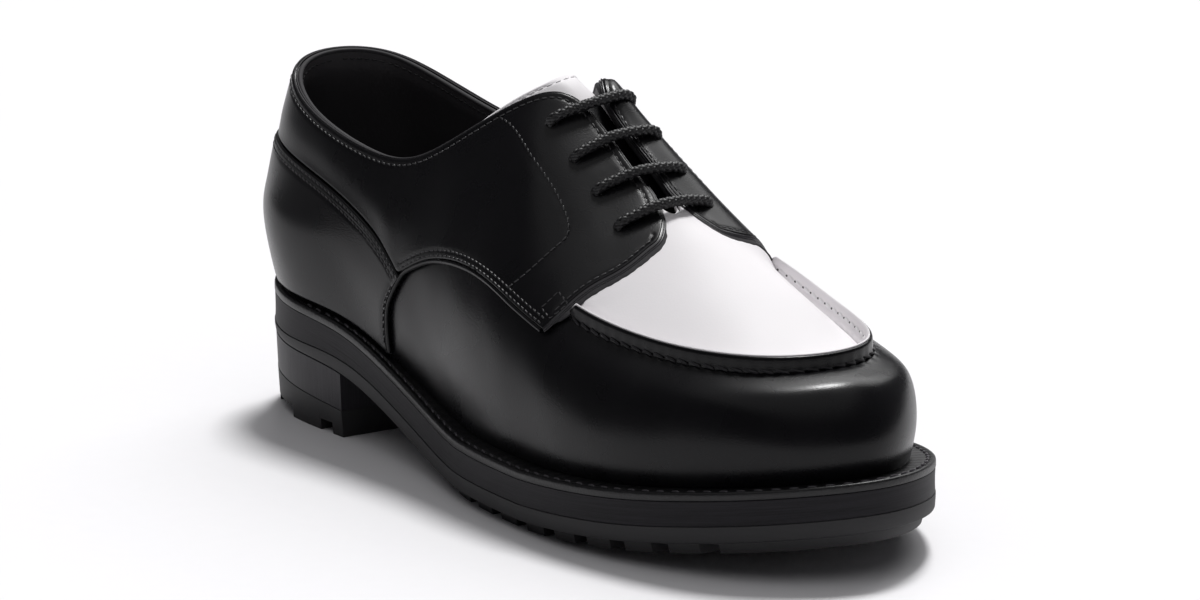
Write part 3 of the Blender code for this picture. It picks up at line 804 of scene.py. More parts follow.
# sole leather, sanded and stained: long streaks that run round the edge
sole_leather = sanded_edge("sanded_sole_leather", "#0d0c0f", "#232126", 0.55, (34.0, 0.5))
# heel leather, sanded and burnished: short upright strokes in dark grey
lift_leather = sanded_edge("burnished_heel_leather", "#1d1b1f", "#333136", 0.45, (0.8, 12.0))
# moulded rubber: flat soft black with a fine grit
sole_rubber = speckled("moulded_black_rubber", "#131214", "#1d1c1f", 0.62, 0.7, 0.2)
# tanned insole leather: a warm brown black, without shine
sock_leather = leather("insole_leather", "#171413", "#221e1c", 0.6, 1.1, 0.2)
# twisted black thread, waxed: dark grains that catch a small light each, with their tone lifted to dark grey
# as a painted glint
black_thread_painted_glint = speckled("black_waxed_thread", "#1a191b", "#2b2a2d", 0.42, 0.35, 0.3)
# thicker waxed thread: grains that stand out from the dark welt, their grey partly the thread's own tone and
# partly a painted glint
welt_thread_painted_glint = speckled("waxed_welt_thread_painted_glint", "#333135", "#5c595e", 0.32, 0.4, 0.3)
# bleached thread: matte white relief on the white leather
white_thread = speckled("white_thread", "#e6e4e6", "#f4f2f4", 0.55, 0.35, 0.3)
# braided yarn, dyed: black strands with a dull sheen
lace_yarn = speckled("black_braided_yarn", "#09090a", "#171619", 0.5, 0.25, 0.4)


# Sole

SOLE_GAP = 0.03          # how far each layer stays back from a joint of the sole
SOLE_SHARP = 30          # angle in degrees from which an edge of the sole stays sharp
HEEL_JOINT_RUN = (15.0, 75.0)    # where the drop of the midsole's joint fades out: start, length
# edges of the sole's layers: inset, whether it goes by the layer's foot (0) or top (1), rise from there
MIDSOLE_EDGE = (
    (1.2, 0, 0.0),
    (0.3, 0, 0.0),
    (0.2, 0, 0.12),
    (0.2, 0, 0.9),
    (0.26, 0, 2.4),
    (0.26, 0, 4.6),
    (0.15, 1, -0.7),
    (0.15, 1, -0.15),
    (0.3, 1, 0.0),
    (3.0, 1, 0.0),
)
OUTSOLE_EDGE = (
    (2.0, 0, 0.0),
    (0.9, 0, 0.0),
    (0.45, 0, 0.25),
    (0.2, 0, 0.8),
    (0.0, 1, -1.2),
    (0.0, 1, -0.2),
    (0.15, 1, -SOLE_GAP),
    (2.0, 1, -SOLE_GAP),
)
LUG_EDGE = ((4.0, 0, -LUG_DEPTH), (3.0, 0, 0.5))
LIFT_EDGE = ((2.0, 0, 0.0), (1.0, 0, 0.0), (0.9, 0, 0.15), (0.4, 1, -0.15), (0.5, 1, 0.0), (2.0, 1, 0.0))
TOP_PIECE_EDGE = ((HEEL_TAPER, 0, 0.0), (0.85, 1, -0.15), (1.0, 1, 0.0))
SOCK_EDGE = ((0.3, 0, 0.2), (0.0, 1, 0.4), (0.6, 1, 0.6), (5.0, 1, -0.3), (9.0, 1, -0.6))
SOCK_INSET = WALL + 1.0
LUG_ROWS = 9
LUG_FIRST = 0.9          # place of the first groove, in pitches
LUG_REACH = 0.24         # length of a side groove, as a share of the sole's width
LUG_MIDDLE = 1.1         # length of a middle groove beside that of a side groove
LUG_WEB = 0.4            # rubber left above a groove
GROOVE_CUT = 12.0        # height of the boxes that cut the grooves
HEEL_MIDDLE_NOTCH = 24.0
WORN_EDGE = 0.35
WORN_ANGLE = 50
WELT_ROW = 2.4           # stitch row's distance from the welt's edge
WELT_SEWN = 3.85         # height of the row above the midsole
WELT_START = 2.3         # section where the row begins, behind the heel's front
WELT_PRICK = (0.3, 0.9)  # depth and half width of the marks wheeled between the stitches
WELT_LOW = WELT_SEAM + 0.05
WELT_INSIDE = WALL + 0.8     # how far the welt goes in under the upper
# rolled edge and top of the welt: inset, height above the midsole
WELT_PROFILE = (
    (0.4, WELT_LOW),
    (0.15, WELT_LOW + 0.05),
    (0.0, WELT_LOW + 0.25),
    (0.02, 3.3),
    (0.12, 3.75),
    (0.4, 4.05),
    (0.85, 4.2),
    (1.5, 4.15),
    (WELT_ROW - 0.4, 4.05),
    (WELT_ROW, 3.8),
    (WELT_ROW + 0.4, 4.05),
    (WELT_ROW + 0.9, 4.15),
)


def shifted(height, by):
    """Height function moved up."""
    return lambda x: height(x) + by


def layer(us, foot, top, rows, inset=0.0):
    """Shape of a sole layer: the rings of its edge table, carried along its edge and closed across."""
    rings = []
    for further, by_top, rise in rows:
        edge = edge_points(us, inset + further)
        rings.append(np.c_[edge, shifted(top if by_top else foot, rise)(edge[:, 0])])
    count = len(us)
    faces = grid_faces(len(rings), count, wrap=True)
    for start in (0, (len(rings) - 1) * count):
        for i in range(count // 2 - 1):
            faces.append((start + i, start + i + 1, start + count - 2 - i, start + count - 1 - i))
    shape = Shape()
    shape.add(np.array(rings), faces)
    return shape


def edge_map(made, us, heights):
    """Map that runs along the sole's edge and up it, in millimetres."""
    mesh = made.data
    edge = mesh.uv_layers.new(name="edge")
    points = np.array([v.co for v in mesh.vertices]) / MM
    line = edge_points(us)
    far = lengths_along(line)
    tree = point_tree(np.c_[line - ORIGIN[:2], np.zeros(len(line))])
    place = [far[tree.find((x, y, 0.0))[1]] for x, y, _ in points]
    up = points[:, 2] - heights(points[:, 0] + ORIGIN[0])
    for loop in mesh.loops:
        edge.data[loop.index].uv = (place[loop.vertex_index], up[loop.vertex_index])


def outsole_top(x):
    """Height of the joint of midsole and outsole, which drops towards the heel."""
    start, length = HEEL_JOINT_RUN
    return seat_height(x) - MIDSOLE_THICK - HEEL_JOINT_DROP * (1 - smooth_step((x - start) / length))


def outsole_bottom(x):
    """Height of the outsole's underside, between the lugs."""
    return seat_height(x) - MIDSOLE_THICK - OUTSOLE_THICK


def section_at_x(x, side):
    """Section number where the sole's edge passes x, on the lateral (1) or medial (-1) side."""
    us = np.linspace(1, 11, 2001)
    return side * float(np.interp(x, edge_points(side * us)[:, 0], us))


def edge_y(x):
    """Lateral and medial y of the sole's edge at x."""
    return [edge_points(section_at_x(x, side))[0, 1] for side in (1, -1)]


def add_box(shape, middle, size):
    """Box given by its middle and its size."""
    corners = [np.array(middle) + np.array((x, y, z)) * np.array(size) / 2
               for x in (-1, 1) for y in (-1, 1) for z in (-1, 1)]
    shape.add(corners, [(0, 1, 3, 2), (4, 6, 7, 5), (0, 4, 5, 1), (2, 3, 7, 6), (0, 2, 6, 4), (1, 5, 7, 3)])


def cut_away(made, cutter_shape, sharp, worn_width=0.0):
    """Take a shape out of a piece for good, and wear the edges if asked."""
    cutter = cutter_shape.make("cutter")
    hole = made.modifiers.new("cut", "BOOLEAN")
    hole.operation = "DIFFERENCE"
    hole.solver = "EXACT"
    hole.object = cutter
    if worn_width:
        worn = made.modifiers.new("worn edges", "BEVEL")
        worn.width = worn_width * MM
        worn.segments = 2
        worn.limit_method = "ANGLE"
        worn.angle_limit = math.radians(WORN_ANGLE)
    bpy.context.view_layer.update()
    result = bpy.data.meshes.new_from_object(made.evaluated_get(bpy.context.evaluated_depsgraph_get()))
    made.modifiers.clear()
    made.data = result
    made.data.name = made.name
    made.data.shade_smooth()
    made.data.set_sharp_from_angle(angle=math.radians(sharp))
    bpy.data.objects.remove(cutter, do_unlink=True)


def build_sole():
    """Midsole and outsole, with the lugs under the forefoot."""
    us = np.linspace(0.01, SECTION_COUNT - 0.01, 480)
    shape = layer(us, shifted(outsole_top, SOLE_GAP), shifted(seat_height, WELT_SEAM), MIDSOLE_EDGE)
    midsole = shape.piece("midsole_leather", [sole_leather], "sole_leather", ["midsole"], SOLE_SHARP)
    edge_map(midsole, us, seat_height)
    shape = layer(us, outsole_bottom, outsole_top, OUTSOLE_EDGE)
    shape.piece("outsole_rubber", [sole_rubber], "sole_rubber", ["outsole"], SOLE_SHARP)

    lug_us = np.linspace(section_at_x(LUG_START, 1), SECTION_COUNT + section_at_x(LUG_START, -1), 260)
    shape = layer(lug_us, outsole_bottom, outsole_top, LUG_EDGE)
    lugs = shape.piece("forefoot_lugs", [sole_rubber], "sole_rubber", (), SOLE_SHARP)
    grooves = Shape()

    def groove(x, y, reach):
        """Groove across the lugs, this long."""
        top = float(outsole_bottom(np.array(x))) - LUG_WEB
        add_box(grooves, (x, y, top - GROOVE_CUT / 2), (LUG_GROOVE, reach, GROOVE_CUT))
    for k in range(LUG_ROWS):
        x = LUG_START + LUG_PITCH * (k + LUG_FIRST)
        lateral, medial = edge_y(x)
        reach = LUG_REACH * (medial - lateral)
        groove(x, lateral + reach / 2, reach)
        groove(x, medial - reach / 2, reach)
        if k < LUG_ROWS - 1:
            groove(x + LUG_PITCH / 2, (medial + lateral) / 2, LUG_MIDDLE * reach)
    cut_away(lugs, grooves, SOLE_SHARP, WORN_EDGE)


def build_heel():
    """Leather lift and rubber top piece of the heel."""
    us = np.linspace(section_at_x(HEEL_BREAST_X, -1), section_at_x(HEEL_BREAST_X, 1), 160)

    def joint(x):
        """Height of the joint of lift and top piece."""
        return TOP_PIECE_BACK + (TOP_PIECE_FRONT - TOP_PIECE_BACK) * x / HEEL_BREAST_X

    def ground(x):
        """Height of the floor."""
        return 0.0 * x

    shape = layer(us, shifted(joint, SOLE_GAP), shifted(outsole_bottom, -SOLE_GAP), LIFT_EDGE)
    lift = shape.piece("heel_lift_leather", [lift_leather], "sole_leather", ["heel_lift"], SOLE_SHARP)
    edge_map(lift, us, joint)
    shape = layer(us, ground, shifted(joint, -SOLE_GAP), TOP_PIECE_EDGE)
    rubber = shape.piece("heel_top_rubber", [sole_rubber], "sole_rubber", ["heel_top_piece"], SOLE_SHARP)
    notches = Shape()
    for x, length in HEEL_NOTCHES:
        for y in edge_y(x):
            add_box(notches, (x, y, 0.0), (length, HEEL_NOTCH_REACH, 2 * LUG_DEPTH))
    add_box(notches, (HEEL_BREAST_X / 2, 0.0, 0.0), (LUG_GROOVE, HEEL_MIDDLE_NOTCH, 2 * LUG_DEPTH))
    cut_away(rubber, notches, SOLE_SHARP, WORN_EDGE)


def above_seat(us, inset, up):
    """Points above the midsole's top, along the sole's edge moved inwards by inset."""
    edge = edge_points(us, inset)
    return np.c_[edge, seat_height(edge[:, 0]) + up]


def build_welt():
    """Welt with its rolled edge, pricked between the stitches, and the stitch row on it."""
    row = np.linspace(WELT_START, SECTION_COUNT - WELT_START, 900)
    path, places = even_path(above_seat(row, WELT_ROW, WELT_SEWN), 0.5)
    pitch = places[-1] / round(places[-1] / WELT_STITCH[0])
    us = np.linspace(0, SECTION_COUNT, 1200, endpoint=False)
    far = lengths_along(above_seat(us, WELT_ROW, WELT_SEWN))
    far = far - np.interp(WELT_START, us, far)
    sewn = (us > WELT_START) & (us < SECTION_COUNT - WELT_START)
    pricked = np.where(sewn, 0.5 + 0.5 * np.cos(math.tau * far / pitch), 0.0)
    depth, width = WELT_PRICK
    rings = [above_seat(us, inset, up - depth * pricked * math.exp(-((inset - WELT_ROW) / width) ** 2))
             for inset, up in WELT_PROFILE]
    rings += [above_seat(us, welt_shows(us) + WELT_INSIDE, up) for up in (WELT_THICK, WELT_LOW)]
    shape = Shape()
    shape.add(rings, grid_faces(len(rings), len(us), wrap=True, closed=True))
    shape.piece("welt_strip", [welt_calf], "welt_leather", ["welt"], 40)

    shape = Shape()
    add_stitches(shape, path, np.tile((0.0, 0.0, 1.0), (len(path), 1)), WELT_STITCH, slant=0.5)
    shape.piece("welt_stitches", [welt_thread_painted_glint], "welt_leather")


def build_insole():
    """Insole under its sock, raised a little round its edge."""
    us = np.linspace(0.05, SECTION_COUNT - 0.05, 240)
    inset = welt_shows(us) + SOCK_INSET
    shape = layer(us, seat_height, shifted(seat_height, INSOLE_THICK), SOCK_EDGE, inset)
    shape.piece("sock_lining", [sock_leather], "insole_leather", ["insole"], 40)


# Upper

RIM_WALL = 1.5           # wall of the upper at its rim
RIM_ROUND = 0.55         # how far the rim's rounded edge stands up
RIM_TURNS = (35, 70, 110, 145)
RIM_FADE = 0.12          # levels below the rim in which the wall reaches its full thickness
TOE_TIP = SECTION_COUNT / 2
SLIT_FOLD = 2.3          # sections on either side of the slit's end with a white fold
TOE_DOME = (267.5, -1.2, 54.0)      # middle of the rounding at the toe that catches the light
TOE_REACH = 13.0
TOE_SWELL = 0.7
TOE_FADE = 4.0           # distance below the raised seam in which it fades in
UPPER_WAVE = 0.10
PUCKER = (0.16, 2.2)     # height and reach of the gathers where the raised seam draws in the leather
PUCKER_SPAN = (4.5, 0.6)     # sections from the toe's tip to their end, and how fast they rise from there
COUNTER_ROWS = (-1.4, -3.0, 1.5)     # distance of its stitch rows from the top edge, and from the front edge
QUARTER_ROWS = (-2.2, 2.0, 1.3, 2.9)     # from the rim, from the front edge, then the double row of the wing
STITCH_SEAT = 0.15       # how deep a stitch row lies in the leather
STITCH_SLANT = 0.25
BACK_ROW = (0.75, 0.2)   # stitch row of the back strip: share of its half width, depth in the leather
LEATHER_SHARP = 60
FRONT_RISE = (7.25, 0.4, 0.1)    # where the quarter climbs onto the apron: section, width, rise of its face
TUCK = (0.6, 5.0)        # how far the quarter dips beside the counter, and in what distance
TUCK_END = (4.0, 0.5)
STRIP_DIP = (0.6, 0.06, 0.2)     # the quarter's dip under the back strip: depth, start, width
# padded top corner of the inner facing: height, section, width
EAR_PAD = (1.8, 6.1, 0.75)
EAR_LEVELS = (0.80, 0.95, 1.0)   # levels where the pad starts, is full and has nearly gone
EAR_FADE = 0.85
HOLE_CORNERS = 28
HOLE_OVAL = (1.2, 0.9)   # a lace hole across the shoe and along it, in radii
PUNCH_REACH = (-0.1, 4.5)
LIP = (0.12, 0.2)        # turned lip of a lace hole: past the hole's edge, radius
LIP_CORNERS = 8
# folded edge that runs over the vamp's wing and down the counter's front: section number, level
WING_EDGE = ((7.50, 0.455), (7.1, 0.457), (6.7, 0.459), (5.9, 0.467), (5.05, 0.460), (4.6, 0.433),
             (4.30, 0.392), (4.15, 0.348), (4.03, 0.29), (3.90, 0.213), (3.84, 0.16), (3.80, 0.10),
             (3.785, 0.02))
WING_BEAD = (0.95, 0.75)     # lift of the folded edge above the upper's face, radius
# beads along the rim: distance past the quarter's edge, lift above the upper's face, radius
EDGE_BEADS = ((0.05, 1.25, 0.3), (0.22, 0.5, 0.28))
RIM_END = 9.35           # section where they stop
# layers under the front edge: reach past it, top above the upper, finish
FRONT_LAYERS = ((0.55, 1.62, 0), (1.05, 1.36, 0))
# cut edge of such a layer: whether it follows the reach, distance out, height from the top
LAYER_FORM = ((0, -1.3, -0.6), (1, -0.2, -0.6), (1, 0.0, -0.45), (1, 0.02, -0.15), (1, -0.2, 0.0),
              (0, -1.3, 0.05))
STRIP_REACH = 2.7        # rough-cut lining strip that shows past them
STRIP_LEAST = 0.4
STRIP_TOP = 1.14
STRIP_FADE = (0.12, 0.86, 0.3)   # shares of the edge where it starts, where it ends and in which it ends
# unevenness of its cut: height, wave length, phase
STRIP_CUT = ((0.09, 0.9, 0.0), (0.07, 0.41, 1.0), (0.05, 2.7, 0.0))
COLLAR_END = 5.4         # section where the collar gives way to the facing
APRON_DIP = 0.3          # face of the apron where it is sewn down beside the raised seam
FRONT_BASE = 0.95        # under face of the quarter's front edge, on the apron


def build_upper():
    """The upper's wall: outer face, rounded rim and lining in one closed skin."""
    columns = 480
    us = np.arange(columns) * SECTION_COUNT / columns
    rows = np.concatenate((np.linspace(-0.004, 0.50, 46), np.linspace(0.505, 0.60, 24),
                           np.linspace(0.61, 0.985, 30), (0.993, 0.998, 1.0)))
    u, v = np.meshgrid(us, rows)
    flat = surface(u, v)
    per_level = mm_per_level(us, RIDGE_LEVEL)
    ridge_far = ((v - RIDGE_LEVEL) * per_level).ravel()
    front = smooth_step((PUCKER_SPAN[0] - np.abs(u.ravel() - TOE_TIP)) * PUCKER_SPAN[1])
    far = lengths_along(surface(us, RIDGE_LEVEL))
    gathers = np.cos(math.tau * np.interp(u.ravel(), us, far) / RIDGE_STITCH[0])
    lift = TOE_SWELL * np.exp(-np.sum((flat - TOE_DOME) ** 2, axis=1) / TOE_REACH ** 2)
    lift = lift * smooth_step(-ridge_far / TOE_FADE) - seam_valley(u, v, per_level).ravel()
    lift = lift + UPPER_WAVE * soft_waves(flat)
    lift = lift + front * PUCKER[0] * gathers * np.exp(-(ridge_far / PUCKER[1]) ** 2)
    outer = surface(u, v, lift.reshape(u.shape)).reshape(*u.shape, 3)

    u_in, v_in = np.meshgrid(us, np.concatenate(((1.0, 0.99, 0.975), np.linspace(0.95, 0.0, 40))))
    depth = RIM_WALL + (WALL - RIM_WALL) * smooth_step((1.0 - v_in) / RIM_FADE)
    inner = surface(u_in, v_in, -depth - seam_valley(u_in, v_in, per_level)).reshape(*u_in.shape, 3)

    full = np.full(columns, 1.0)
    up = unit(face_at(UPPER, us, full) - face_at(UPPER, us, 0.99 * full))
    rim = []
    for angle in np.radians(RIM_TURNS):
        side = surface(us, full, -RIM_WALL / 2 * (1 - math.cos(angle)))
        rim.append(side + up * RIM_ROUND * math.sin(angle))
    points = np.concatenate((outer, np.array(rim), inner))
    finish = np.ones((len(points), columns), int)
    finish[:len(outer) - 1] = 0
    finish[len(outer) - 1:len(outer) + len(rim) + 1] = np.where(np.abs(us - TOE_TIP) < SLIT_FOLD, 3, 2)
    shape = Shape()
    shape.add(points, grid_faces(len(points), columns, wrap=True, closed=True), finish.ravel().tolist())
    shape.piece("upper_leather", [black_calf, lining_calf_painted_fill, raw_edge, white_calf], "black_leather", ["upper"],
                LEATHER_SHARP)


def counter_end(v):
    """Section where the counter's front edge lies at a level."""
    table = np.array(COUNTER_FRONT)
    return np.interp(v, table[:, 0], table[:, 1])


def counter_rows():
    """Stitch lines of the counter, inside its top edge and its front edge."""
    us = np.linspace(0.0, COUNTER_END - 0.06, 130)
    rows = [offset_line(us, counter_top(us), distance) for distance in COUNTER_ROWS[:2]]
    vs = np.linspace(0.30, 0.04, 60)
    ends = counter_end(vs)
    per_section = np.linalg.norm(face_at(UPPER, ends, vs) - face_at(UPPER, ends - 0.1, vs), axis=1) / 0.1
    return rows + [(ends - COUNTER_ROWS[2] / per_section, vs)]


def sew(stitches, rows, side):
    """Fine stitches along lines on a laid-on piece."""
    for us, vs in rows:
        line = stitch_line(us, vs, side, PROUD - STITCH_SEAT)
        add_stitches(stitches, *line, FINE_STITCH, slant=STITCH_SLANT)


def panel(name, node, outer, inner):
    """Black leather panel with a waxed cut edge, lighter partly by a painted highlight."""
    shape = Shape()
    add_sheet(shape, outer, inner, 1)
    return shape.piece(name, [black_calf, edge_ink_painted_glint], "black_leather", [node], LEATHER_SHARP)


def build_counter(stitches):
    """Overlay round the heel."""
    share = places_along((0, 0.01, 5), (0.01, 0.05, 6), (0.05, 0.95, 120), (0.95, 0.99, 6),
                         (0.99, 1.0, 5)) * 2 - 1
    us = share * COUNTER_END
    v = edge_rows(us, np.full(len(us), 0.012), counter_top(us), 34)
    rows = counter_rows()
    grooves = [surface(side * a, b) for a, b in rows for side in (1, -1)]
    panel("counter_leather", "counter", *laid_piece(share * counter_end(v), v, (LAID_BASE, PROUD), grooves))
    for row in rows:
        for side in (1, -1):
            sew(stitches, [row], side)


def build_back_strip(stitches):
    """Strip over the heel seam, sewn down along both edges."""
    us = places_along((-1, -0.86, 5), (-0.86, 0.86, 26), (0.86, 1, 5)) * BACK_STRIP_HALF
    v = edge_rows(us, counter_top(us) + 0.004, np.full(len(us), 1.0), 14)
    outer, inner = laid_piece(np.broadcast_to(us, v.shape), v, (LAID_BASE, PROUD))
    panel("back_strip_leather", "back_strip", outer, inner)
    vs = np.linspace(0.69, 0.97, 30)
    share, depth = BACK_ROW
    for side in (1, -1):
        line = stitch_line(np.full(len(vs), share * BACK_STRIP_HALF), vs, side, PROUD - depth)
        add_stitches(stitches, *line, FINE_STITCH)


def quarter_rows():
    """Stitch lines of a quarter: rim, front edge, double row over the wing, eyestay, corner square."""
    from_rim, from_front, *from_wing = QUARTER_ROWS
    us = np.linspace(0.55, 9.25, 300)
    rows = [offset_line(us, quarter_high(us), from_rim)]
    us = np.linspace(QUARTER_CORNER + 0.16, 9.42, 100)
    rows.append(offset_line(us, quarter_low(us), from_front))
    us = np.linspace(4.2, QUARTER_CORNER - 0.08, 120)
    rows += [offset_line(us, along(QUARTER_ARCH, us), distance) for distance in from_wing]
    rows.append(smooth_line(EYESTAY_STITCH, 160))
    corners = np.arange(len(CORNER_SQUARE))
    rows.append(between(np.linspace(0, corners[-1], 160), corners, CORNER_SQUARE).T)
    return rows


def build_quarter(side, stitches):
    """Lacing quarter of the outer (1) or inner (-1) side, with its lace holes."""
    us = places_along((BACK_STRIP_HALF - 0.12, 0.5, 12), (0.5, 7.3, 150), (7.3, 7.8, 30),
                      (7.8, QUARTER_END, 80))
    v = edge_rows(us, quarter_low(us) + 0.003, quarter_high(us), 34)
    u = np.broadcast_to(us, v.shape)
    rows = quarter_rows()
    grooves = [surface(side * a, b) for a, b in rows[:-1]]
    front = smooth_step((u - FRONT_RISE[0]) / FRONT_RISE[1])
    low = LAID_BASE + (FRONT_BASE - LAID_BASE) * front
    top, counter = quarter_high(us), counter_top(us)
    from_counter = level_length(us, counter, top) * (v - counter) / (top - counter)
    tuck = np.exp(-(np.maximum(from_counter, 0) / TUCK[1]) ** 2)
    tuck = tuck * smooth_step((TUCK_END[0] - u) / TUCK_END[1])
    dip, start, width = STRIP_DIP
    under_strip = 1 - smooth_step((u - BACK_STRIP_HALF + start) / width)
    high = PROUD - TUCK[0] * tuck + FRONT_RISE[2] * front - dip * under_strip * (1 - tuck)
    if side < 0:
        begin, most, gone = EAR_LEVELS
        pad = smooth_step((v - begin) / (most - begin))
        pad = pad * (1 - EAR_FADE * smooth_step((v - most) / (gone - most)))
        high = high + EAR_PAD[0] * np.exp(-((u - EAR_PAD[1]) / EAR_PAD[2]) ** 2) * pad
        u, v, low, high = -u[:, ::-1], v[:, ::-1], low[:, ::-1], high[:, ::-1]
    node = "quarter_%s" % ("lateral" if side > 0 else "medial")
    made = panel(node + "_leather", node, *laid_piece(u, v, (low, high), grooves))
    punch = Shape()
    for a, b in LACE_HOLES[0 if side > 0 else 1]:
        rings = [hole_ring(side * a, b, HOLE_RADIUS, lift) for lift in PUNCH_REACH]
        ends = [tuple(range(HOLE_CORNERS)), tuple(range(HOLE_CORNERS, 2 * HOLE_CORNERS))]
        punch.add(rings, grid_faces(2, HOLE_CORNERS, wrap=True) + ends)
    cut_away(made, punch, LEATHER_SHARP)
    sew(stitches, rows, side)


def hole_ring(u, v, radius, lift):
    """Oval round a lace hole, longer across the shoe."""
    middle, normal = (w[0] for w in surface(u, v, lift, with_normal=True))
    ahead = surface(u, v + 0.01)[0] - surface(u, v)[0]
    ahead = unit(ahead - normal * (ahead @ normal))
    beside = np.cross(normal, ahead)
    turn = np.linspace(0, math.tau, HOLE_CORNERS, endpoint=False)[:, None]
    return middle + radius * (HOLE_OVAL[0] * np.cos(turn) * ahead + HOLE_OVAL[1] * np.sin(turn) * beside)


def build_hole_lips():
    """Turned lip of leather round every lace hole."""
    shape = Shape()
    past, radius = LIP
    for side, holes in zip((1, -1), LACE_HOLES):
        for a, b in holes:
            rings = [hole_ring(side * a, b, HOLE_RADIUS + past + x, PROUD - past + y)
                     for x, y in circle(LIP_CORNERS, radius)]
            shape.add(np.swapaxes(rings, 0, 1), grid_faces(HOLE_CORNERS, LIP_CORNERS, wrap=True, closed=True))
    shape.piece("lace_hole_lips", [black_calf], "black_leather")


def add_front_layers(shape, side):
    """Cut layers under the front edge of a quarter, with the rough lining strip past them."""
    front_us = np.linspace(QUARTER_CORNER - 0.02, 9.57, 160)
    back_us = np.linspace(9.56, 8.6, 60)
    path, normals = stitch_line(np.concatenate((front_us, back_us)), np.concatenate(
        (quarter_low(front_us), quarter_high(back_us))), side, 0.0)
    path = softened(path, 5)
    across, ups = frames_along(path, normals)
    far = lengths_along(path)
    share = far / far[-1]
    rough = sum(height * np.sin(far / wave + phase) for height, wave, phase in STRIP_CUT)
    begin, end, fade = STRIP_FADE
    wide = STRIP_REACH * smooth_step(share / begin) * smooth_step((end - share) / fade) + rough
    for reach, top, finish in (*FRONT_LAYERS, (np.maximum(wide, STRIP_LEAST), STRIP_TOP, 1)):
        rows = [np.c_[follows * reach + np.full(len(far), out), np.full(len(far), top + up)]
                for follows, out, up in LAYER_FORM]
        add_sweep(shape, path, across * side, ups, np.stack(rows, axis=1), finish)


def build_edge_layers():
    """What shows along the quarters' edges: the wing's folded edge, the front's layers, beads at the rim."""
    shape = Shape()
    rim_us = np.linspace(0.0, RIM_END, 520)
    per_level = mm_per_level(rim_us, 0.99)
    for side in (1, -1):
        path, normals = stitch_line(*smooth_line(WING_EDGE, 300), side, WING_BEAD[0])
        add_bead(shape, path, normals, WING_BEAD[1], 2)
        add_front_layers(shape, side)
        for past, lift, radius in EDGE_BEADS:
            beads = quarter_high(rim_us) + past / per_level
            for part, finish in ((rim_us < COLLAR_END, 1), (rim_us > COLLAR_END - 0.03, 0)):
                add_bead(shape, *stitch_line(rim_us[part], beads[part], side, lift), radius, finish)
    shape.piece("quarter_edge_layers", [edge_ink_painted_glint, raw_edge, black_calf], "black_leather", (), LEATHER_SHARP)


# Apron and its raised seam

VALLEY_DEPTH = (0.5, 2.0)    # depth beside the seam on the outer side, and what the inner side adds
VALLEY_TURN = (11.6, 1.6)    # section where it starts to deepen, width
VALLEY_REACH = (2.4, 26.0, 22.0)     # width of its near slope, its end from the seam, width of its far slope
VALLEY_CLEAR = 9.0       # distance from the quarter in which it fades
VALLEY_START = 0.5
RIDGE_LEAN = 0.10
RIDGE_ENDS = (0.35, 4.0)     # height of the seam's ends, and length in which it rises from there
# the two halves of the raised seam: inwards, up
RIDGE_OUTER = ((0.1, -1.6), (-0.35, -0.2), (-0.1, 0.7), (0.12, 2.2), (0.25, 3.5), (0.5, 4.2), (0.85, 4.45),
               (1.15, 4.4), (1.22, 4.2), (1.22, 1.5), (1.22, -1.6))
RIDGE_INNER = ((1.26, -1.6), (1.26, 1.5), (1.26, 4.4), (1.36, 4.8), (1.65, 4.95), (1.95, 4.8), (2.2, 4.2),
               (2.35, 2.4), (2.5, 1.4), (3.1, 0.85), (3.6, 0.3), (3.6, -1.6))
RIDGE_PULL = (-0.22, 0.35)   # how far the stitches draw each half's foot out and in
PULL_FADE = 1.6          # height in which that fades
RIDGE_SAG = (0.10, 9.0, 2.0)     # slow waves of its top: height, length, height from which they start
# stitch rows on its two faces: place inwards and up, then the direction they face
OUTER_SEAT = (-0.42, 0.35, -0.85, 0.5)
INNER_SEAT = (2.42, 2.1, 0.9, 0.4)
INNER_STITCH = (RIDGE_STITCH[0], 3.0, 0.5)
# dark beads between the inner stitches, painted shade for the needle holes: distance between, length, thread
# radius
NEEDLE_HOLE_SHADE = (RIDGE_STITCH[0], 0.7, 0.3)
RIDGE_BARE = 6           # points at either end without stitches
APRON_START = 2.2        # edge of the apron from the seam's line
APRON_RISE = (2.6, 5.0)  # distance from there in which its face rises: start, length
APRON_TUCK = 0.012       # levels that it goes in under the quarter
APRON_END = 0.995


def seam_valley(u, v, per_level):
    """How far the upper lies lower beside the raised seam, most of all on the inner side."""
    u = np.mod(u, SECTION_COUNT)
    fold = np.minimum(u, SECTION_COUNT - u)
    deep = VALLEY_DEPTH[0] + VALLEY_DEPTH[1] * smooth_step((u - VALLEY_TURN[0]) / VALLEY_TURN[1])
    from_ridge = (v - RIDGE_LEVEL) * per_level
    from_quarter = np.where(fold < QUARTER_END, quarter_low(fold) - v, 1.0) * per_level
    near, end, slope = VALLEY_REACH
    across = smooth_step(from_ridge / near) * smooth_step((end - from_ridge) / slope)
    clear = smooth_step(from_quarter / VALLEY_CLEAR)
    return deep * across * clear * smooth_step((fold - RIDGE_START) / VALLEY_START)


def ridge_path(past, count):
    """Section numbers, points and inward directions along the base of the raised seam."""
    us = np.linspace(RIDGE_START - past, SECTION_COUNT - RIDGE_START + past, count)
    path = surface(us, RIDGE_LEVEL)
    inwards = surface(us, RIDGE_LEVEL + 0.02) - path
    inwards[:, 2] = 0
    return us, path, unit(inwards)


